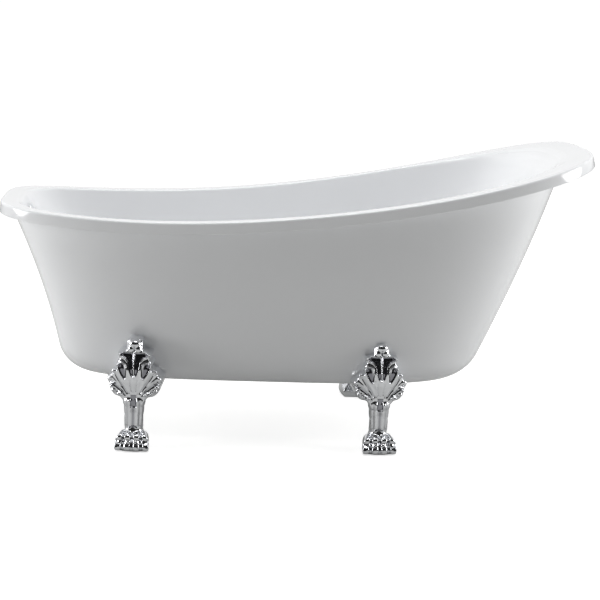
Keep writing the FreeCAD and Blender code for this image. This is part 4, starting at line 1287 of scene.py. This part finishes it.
@dataclass
class Fasteners:
    """The foot bolts and nuts, set out by Geometry Nodes, and the slip nut, in millimetres.

    Args:
        offset: distance of each pair of bolts from the bath's middle line.
        pitch: distance between the bolts of a pair.
        head_base: height of the bolt heads' lower faces.
        flats: width across the flats of heads and nuts.
        shank: the bolts' thickness.
        nut_base: height of the nuts' lower faces.
        nut_height: how tall a nut is.
        top: height of the bolts' ends.
        chamfer: height of the chamfer on heads and nuts.
        slip_flats: width across the slip nut's flats.
    """

    offset: float = 100.0
    pitch: float = 28.0
    head_base: float = 129.1
    flats: float = 13.0
    shank: float = 8.0
    nut_base: float = 154.5
    nut_height: float = 6.5
    top: float = 163.0
    chamfer: float = 0.9
    slip_flats: float = 52.0

    SLIP_RINGS = ((18.8, 136), (25.5, 136), (40, 138), (40, 150), (27.5, 151.5), (25.8, 152), (25.8, 153.4),
                  (25.2, 154), (18.8, 154))

    def tree(self, source: bpy.types.Object, finish: Finish) -> bpy.types.NodeTree:
        """Return a tree that sets a copy of the source on every point, in pairs.

        Args:
            source: the object to repeat.
            finish: the finish of every copy.

        Returns:
            The node tree, with the inputs Piece and Pitch.
        """
        tree = bpy.data.node_groups.new(f"{source.name}_pairs", "GeometryNodeTree")
        face = tree.interface
        face.new_socket("Geometry", in_out="INPUT", socket_type="NodeSocketGeometry")
        face.new_socket("Piece", in_out="INPUT", socket_type="NodeSocketObject")
        face.new_socket("Pitch", in_out="INPUT", socket_type="NodeSocketFloat")
        face.new_socket("Geometry", in_out="OUTPUT", socket_type="NodeSocketGeometry")
        start = add_node(tree, "NodeGroupInput")
        info = add_node(tree, "GeometryNodeObjectInfo", {"Object": start.outputs["Piece"]})
        join = add_node(tree, "GeometryNodeJoinGeometry")
        for side in (-0.5, 0.5):
            along = add_node(tree, "ShaderNodeMath", {0: start.outputs["Pitch"], 1: side},
                             operation="MULTIPLY")
            offset = add_node(tree, "ShaderNodeCombineXYZ", {"X": along.outputs["Value"]})
            shift = add_node(tree, "GeometryNodeSetPosition",
                             {"Geometry": start.outputs["Geometry"], "Offset": offset.outputs["Vector"]})
            spread = add_node(tree, "GeometryNodeInstanceOnPoints",
                              {"Points": shift.outputs["Geometry"], "Instance": info.outputs["Geometry"]})
            tree.links.new(spread.outputs["Instances"], join.inputs["Geometry"])
        realize = add_node(tree, "GeometryNodeRealizeInstances", {"Geometry": join.outputs["Geometry"]})
        paint = add_node(tree, "GeometryNodeSetMaterial",
                         {"Geometry": realize.outputs["Geometry"], "Material": finish.material()})
        add_node(tree, "NodeGroupOutput", {"Geometry": paint.outputs["Geometry"]})
        return tree

    def spread(self, name: str, source: bpy.types.Object, finish: Finish, node: str) -> None:
        """Repeat a source at all bolt places and dress the result as one piece.

        Args:
            name: name of the piece.
            source: the object to repeat, which is removed afterwards.
            finish: its finish.
            node: the CAD node that the piece replaces.
        """
        mesh = bpy.data.meshes.new(name)
        spots = [(x * MM, y * MM, 0) for x, _ in FEET.values() for y in (-self.offset, self.offset)]
        mesh.from_pydata(spots, [], [])
        piece = bpy.data.objects.new(name, mesh)
        bpy.context.scene.collection.objects.link(piece)
        modifier = piece.modifiers.new("pairs", "NODES")
        modifier.node_group = self.tree(source, finish)
        sockets = {item.name: item.identifier for item in modifier.node_group.interface.items_tree
                   if item.in_out == "INPUT"}
        modifier[sockets["Piece"]] = source
        modifier[sockets["Pitch"]] = self.pitch * MM
        settle(piece)
        bpy.data.objects.remove(source)
        piece.data.shade_smooth()
        piece.data.set_sharp_from_angle(angle=math.radians(FITTING_CREASE))
        dress(piece, finish, Body.TUB, node)

    def bolt(self) -> bpy.types.Object:
        """Return one bolt: chamfered hexagon head below and a shank up through bearer and nut.

        Returns:
            The bolt.
        """
        base = self.head_base
        head = base + 5.3
        across, corner, shank = self.flats / 2 - 0.1, self.flats, self.shank / 2
        rings = [(0.01, base), (across, base), (corner, base + self.chamfer), (corner, head), (shank, head),
                 (shank, self.top - 0.8), (shank - 0.8, self.top), (0.01, self.top)]
        return hexagonal("bolt", self.flats, rings, Vector((0, 0, 0)))

    def nut(self) -> bpy.types.Object:
        """Return one nut, chamfered above and below.

        Returns:
            The nut.
        """
        across, corner, bore = self.flats / 2 - 0.1, self.flats, self.shank / 2
        base, top = self.nut_base, self.nut_base + self.nut_height
        rings = [(bore, base), (across, base), (corner, base + self.chamfer), (corner, top - self.chamfer),
                 (across, top), (bore, top)]
        return hexagonal("nut", self.flats, rings, Vector((0, 0, 0)))

    def slip_nut(self) -> bpy.types.Object:
        """Return the tailpiece's slip nut, with a rounded collar above its flats."""
        return hexagonal("slip_nut_ribbed", self.slip_flats, self.SLIP_RINGS, Vector((DRAIN, 0, 0)))

    def build(self) -> None:
        """Make the bolts, their nuts and the slip nut."""
        self.spread("foot_bolt_set", self.bolt(), ZINC, "foot_bolts")
        self.spread("foot_nut_set", self.nut(), ZINC, "foot_nuts")
        dress(self.slip_nut(), PIPE_PLASTIC, Body.TUB, "slip_nut")


# ---------------------------------------------------------------- studio


@dataclass
class Studio:
    """Pale floor, soft lights, surroundings and the camera at the photo's angle.

    Args:
        place: the camera's place, in metres.
        yaw: degrees that it looks to the right.
        pitch: degrees that it looks down.
        roll: degrees that it is tilted.
        lens: its focal length, in millimetres.
        sensor: its sensor's width.
        bounce: the floor's colour.
        reach: half the floor's width, in metres.
        paper: how much the floor shines where the camera sees it.
        fade: direction along Y in which the room's light begins and ends its rise.
        dim: the room's light on the camera's side.
        bright: the same on the far side.
        backdrop: the room's brightness where the camera sees it.
    """

    place: tuple[float, float, float] = (-0.300, -3.9749, 1.1491)
    yaw: float = 4.61
    pitch: float = 11.6
    roll: float = 2.15
    lens: float = 92.27
    sensor: float = 36.0
    bounce: tuple[float, float, float] = (0.58, 0.58, 0.57)
    reach: float = 400.0
    paper: float = 0.75
    fade: tuple[float, float] = (-0.6, 0.3)
    dim: float = 0.02
    bright: float = 0.84
    backdrop: float = 1.1

    LAMPS = (
        ("overhead", (-0.1, -0.45, 3.2), (0, 0.2, 0.4), 2.0, 36),
        ("left", (-3.4, -0.6, 1.0), (-0.5, 0, 0.4), 1.6, 46),
        ("right", (3.2, -0.6, 1.2), (0.5, 0, 0.5), 1.6, 46),
    )

    def camera(self) -> None:
        """Set the camera where the photo was taken from."""
        yaw, pitch, roll = (math.radians(angle) for angle in (self.yaw, self.pitch, self.roll))
        forward = Vector((math.sin(yaw) * math.cos(pitch), math.cos(yaw) * math.cos(pitch), -math.sin(pitch)))
        right = Vector((math.cos(yaw), -math.sin(yaw), 0))
        up = right.cross(forward)
        across = right * math.cos(roll) + up * math.sin(roll)
        upward = -right * math.sin(roll) + up * math.cos(roll)
        rotation = Matrix((across, upward, -forward)).transposed()
        data = bpy.data.cameras.new("camera")
        data.lens = self.lens
        data.sensor_width = self.sensor
        camera = bpy.data.objects.new("camera", data)
        camera.matrix_world = Matrix.Translation(self.place) @ rotation.to_4x4()
        bpy.context.scene.collection.objects.link(camera)
        bpy.context.scene.camera = camera

    def floor(self) -> None:
        """Lay a wide, plain floor that is pale to the lamps and whiter to the camera."""
        reach = self.reach
        corners = [(-reach, -reach, 0), (reach, -reach, 0), (reach, reach, 0), (-reach, reach, 0)]
        mesh = bpy.data.meshes.new("floor")
        mesh.from_pydata(corners, [], [(0, 1, 2, 3)])
        floor = bpy.data.objects.new("floor", mesh)
        bpy.context.scene.collection.objects.link(floor)
        material = bpy.data.materials.new("floor_finish")
        material.use_nodes = True
        tree = material.node_tree
        shader = tree.nodes["Principled BSDF"]
        shader.inputs["Base Color"].default_value = (*self.bounce, 1)
        shader.inputs["Roughness"].default_value = 0.9
        shader.inputs["Specular IOR Level"].default_value = 0.0
        # the lamps' light alone leaves the floor grey; the shine makes it white paper to the camera only
        path = add_node(tree, "ShaderNodeLightPath")
        paper = add_node(tree, "ShaderNodeMath", {0: path.outputs["Is Camera Ray"], 1: self.paper},
                         operation="MULTIPLY")
        tree.links.new(paper.outputs["Value"], shader.inputs["Emission Strength"])
        shader.inputs["Emission Color"].default_value = (1, 1, 1, 1)
        mesh.materials.append(material)

    def surroundings(self) -> None:
        """Light from a white room that is dim on -Y, the side of the photo's camera."""
        world = bpy.data.worlds.new("room")
        bpy.context.scene.world = world
        world.use_nodes = True
        tree = world.node_tree
        background = tree.nodes["Background"]
        place = add_node(tree, "ShaderNodeTexCoord").outputs["Generated"]
        split = add_node(tree, "ShaderNodeSeparateXYZ", {"Vector": place})
        ramp = add_node(tree, "ShaderNodeMapRange",
                        {"Value": split.outputs["Y"], "From Min": self.fade[0], "From Max": self.fade[1],
                         "To Min": self.dim, "To Max": self.bright}, interpolation_type="SMOOTHSTEP")
        path = add_node(tree, "ShaderNodeLightPath")
        choose = add_node(tree, "ShaderNodeMix",
                          {"Factor": path.outputs["Is Camera Ray"], "A": ramp.outputs["Result"],
                           "B": self.backdrop}, data_type="FLOAT")
        tree.links.new(choose.outputs["Result"], background.inputs["Strength"])
        background.inputs["Color"].default_value = (1, 1, 1, 1)

    def lamp(self, name: str, place: tuple, target: tuple, size: float, power: float) -> None:
        """Hang one soft lamp.

        Args:
            name: name of the lamp.
            place: where it hangs.
            target: the point that it faces.
            size: its width.
            power: its power in watts.
        """
        data = bpy.data.lights.new(name, "AREA")
        data.shape = "DISK"
        data.size = size
        data.energy = power
        lamp = bpy.data.objects.new(name, data)
        lamp.location = place
        lamp.rotation_euler = (Vector(target) - Vector(place)).to_track_quat("-Z", "Y").to_euler()
        bpy.context.scene.collection.objects.link(lamp)

    def build(self) -> None:
        """Set up the whole studio."""
        self.camera()
        self.floor()
        self.surroundings()
        for lamp in self.LAMPS:
            self.lamp(*lamp)
        bpy.context.scene.view_settings.view_transform = "Standard"


def paint_nodes() -> None:
    """Give every CAD node the finish of its slot."""
    slots = {row["node"]: row["material_slot"] for row in frame["record"]["subparts"]}
    for name, node in frame["nodes"].items():
        material = FINISHES[slots[name]].material()
        if not node.material_slots:
            node.data.materials.append(material)
        for slot in node.material_slots:
            slot.material = material


def main() -> None:
    """Build every sub-assembly in order."""
    logging.basicConfig(level=logging.INFO, format="%(name)s %(message)s")
    Studio().build()
    paint_nodes()
    form = BathForm()
    Shells(form).build()
    for end, (place, splay) in FEET.items():
        ClawFoot(f"{end}_front_foot", place, splay, -1).build()
        ClawFoot(f"{end}_rear_foot", place, splay, 1).build()
    RisingPlug().build()
    Overflow(form).build()
    Fasteners().build()


if __name__ == "__main__":
    main()
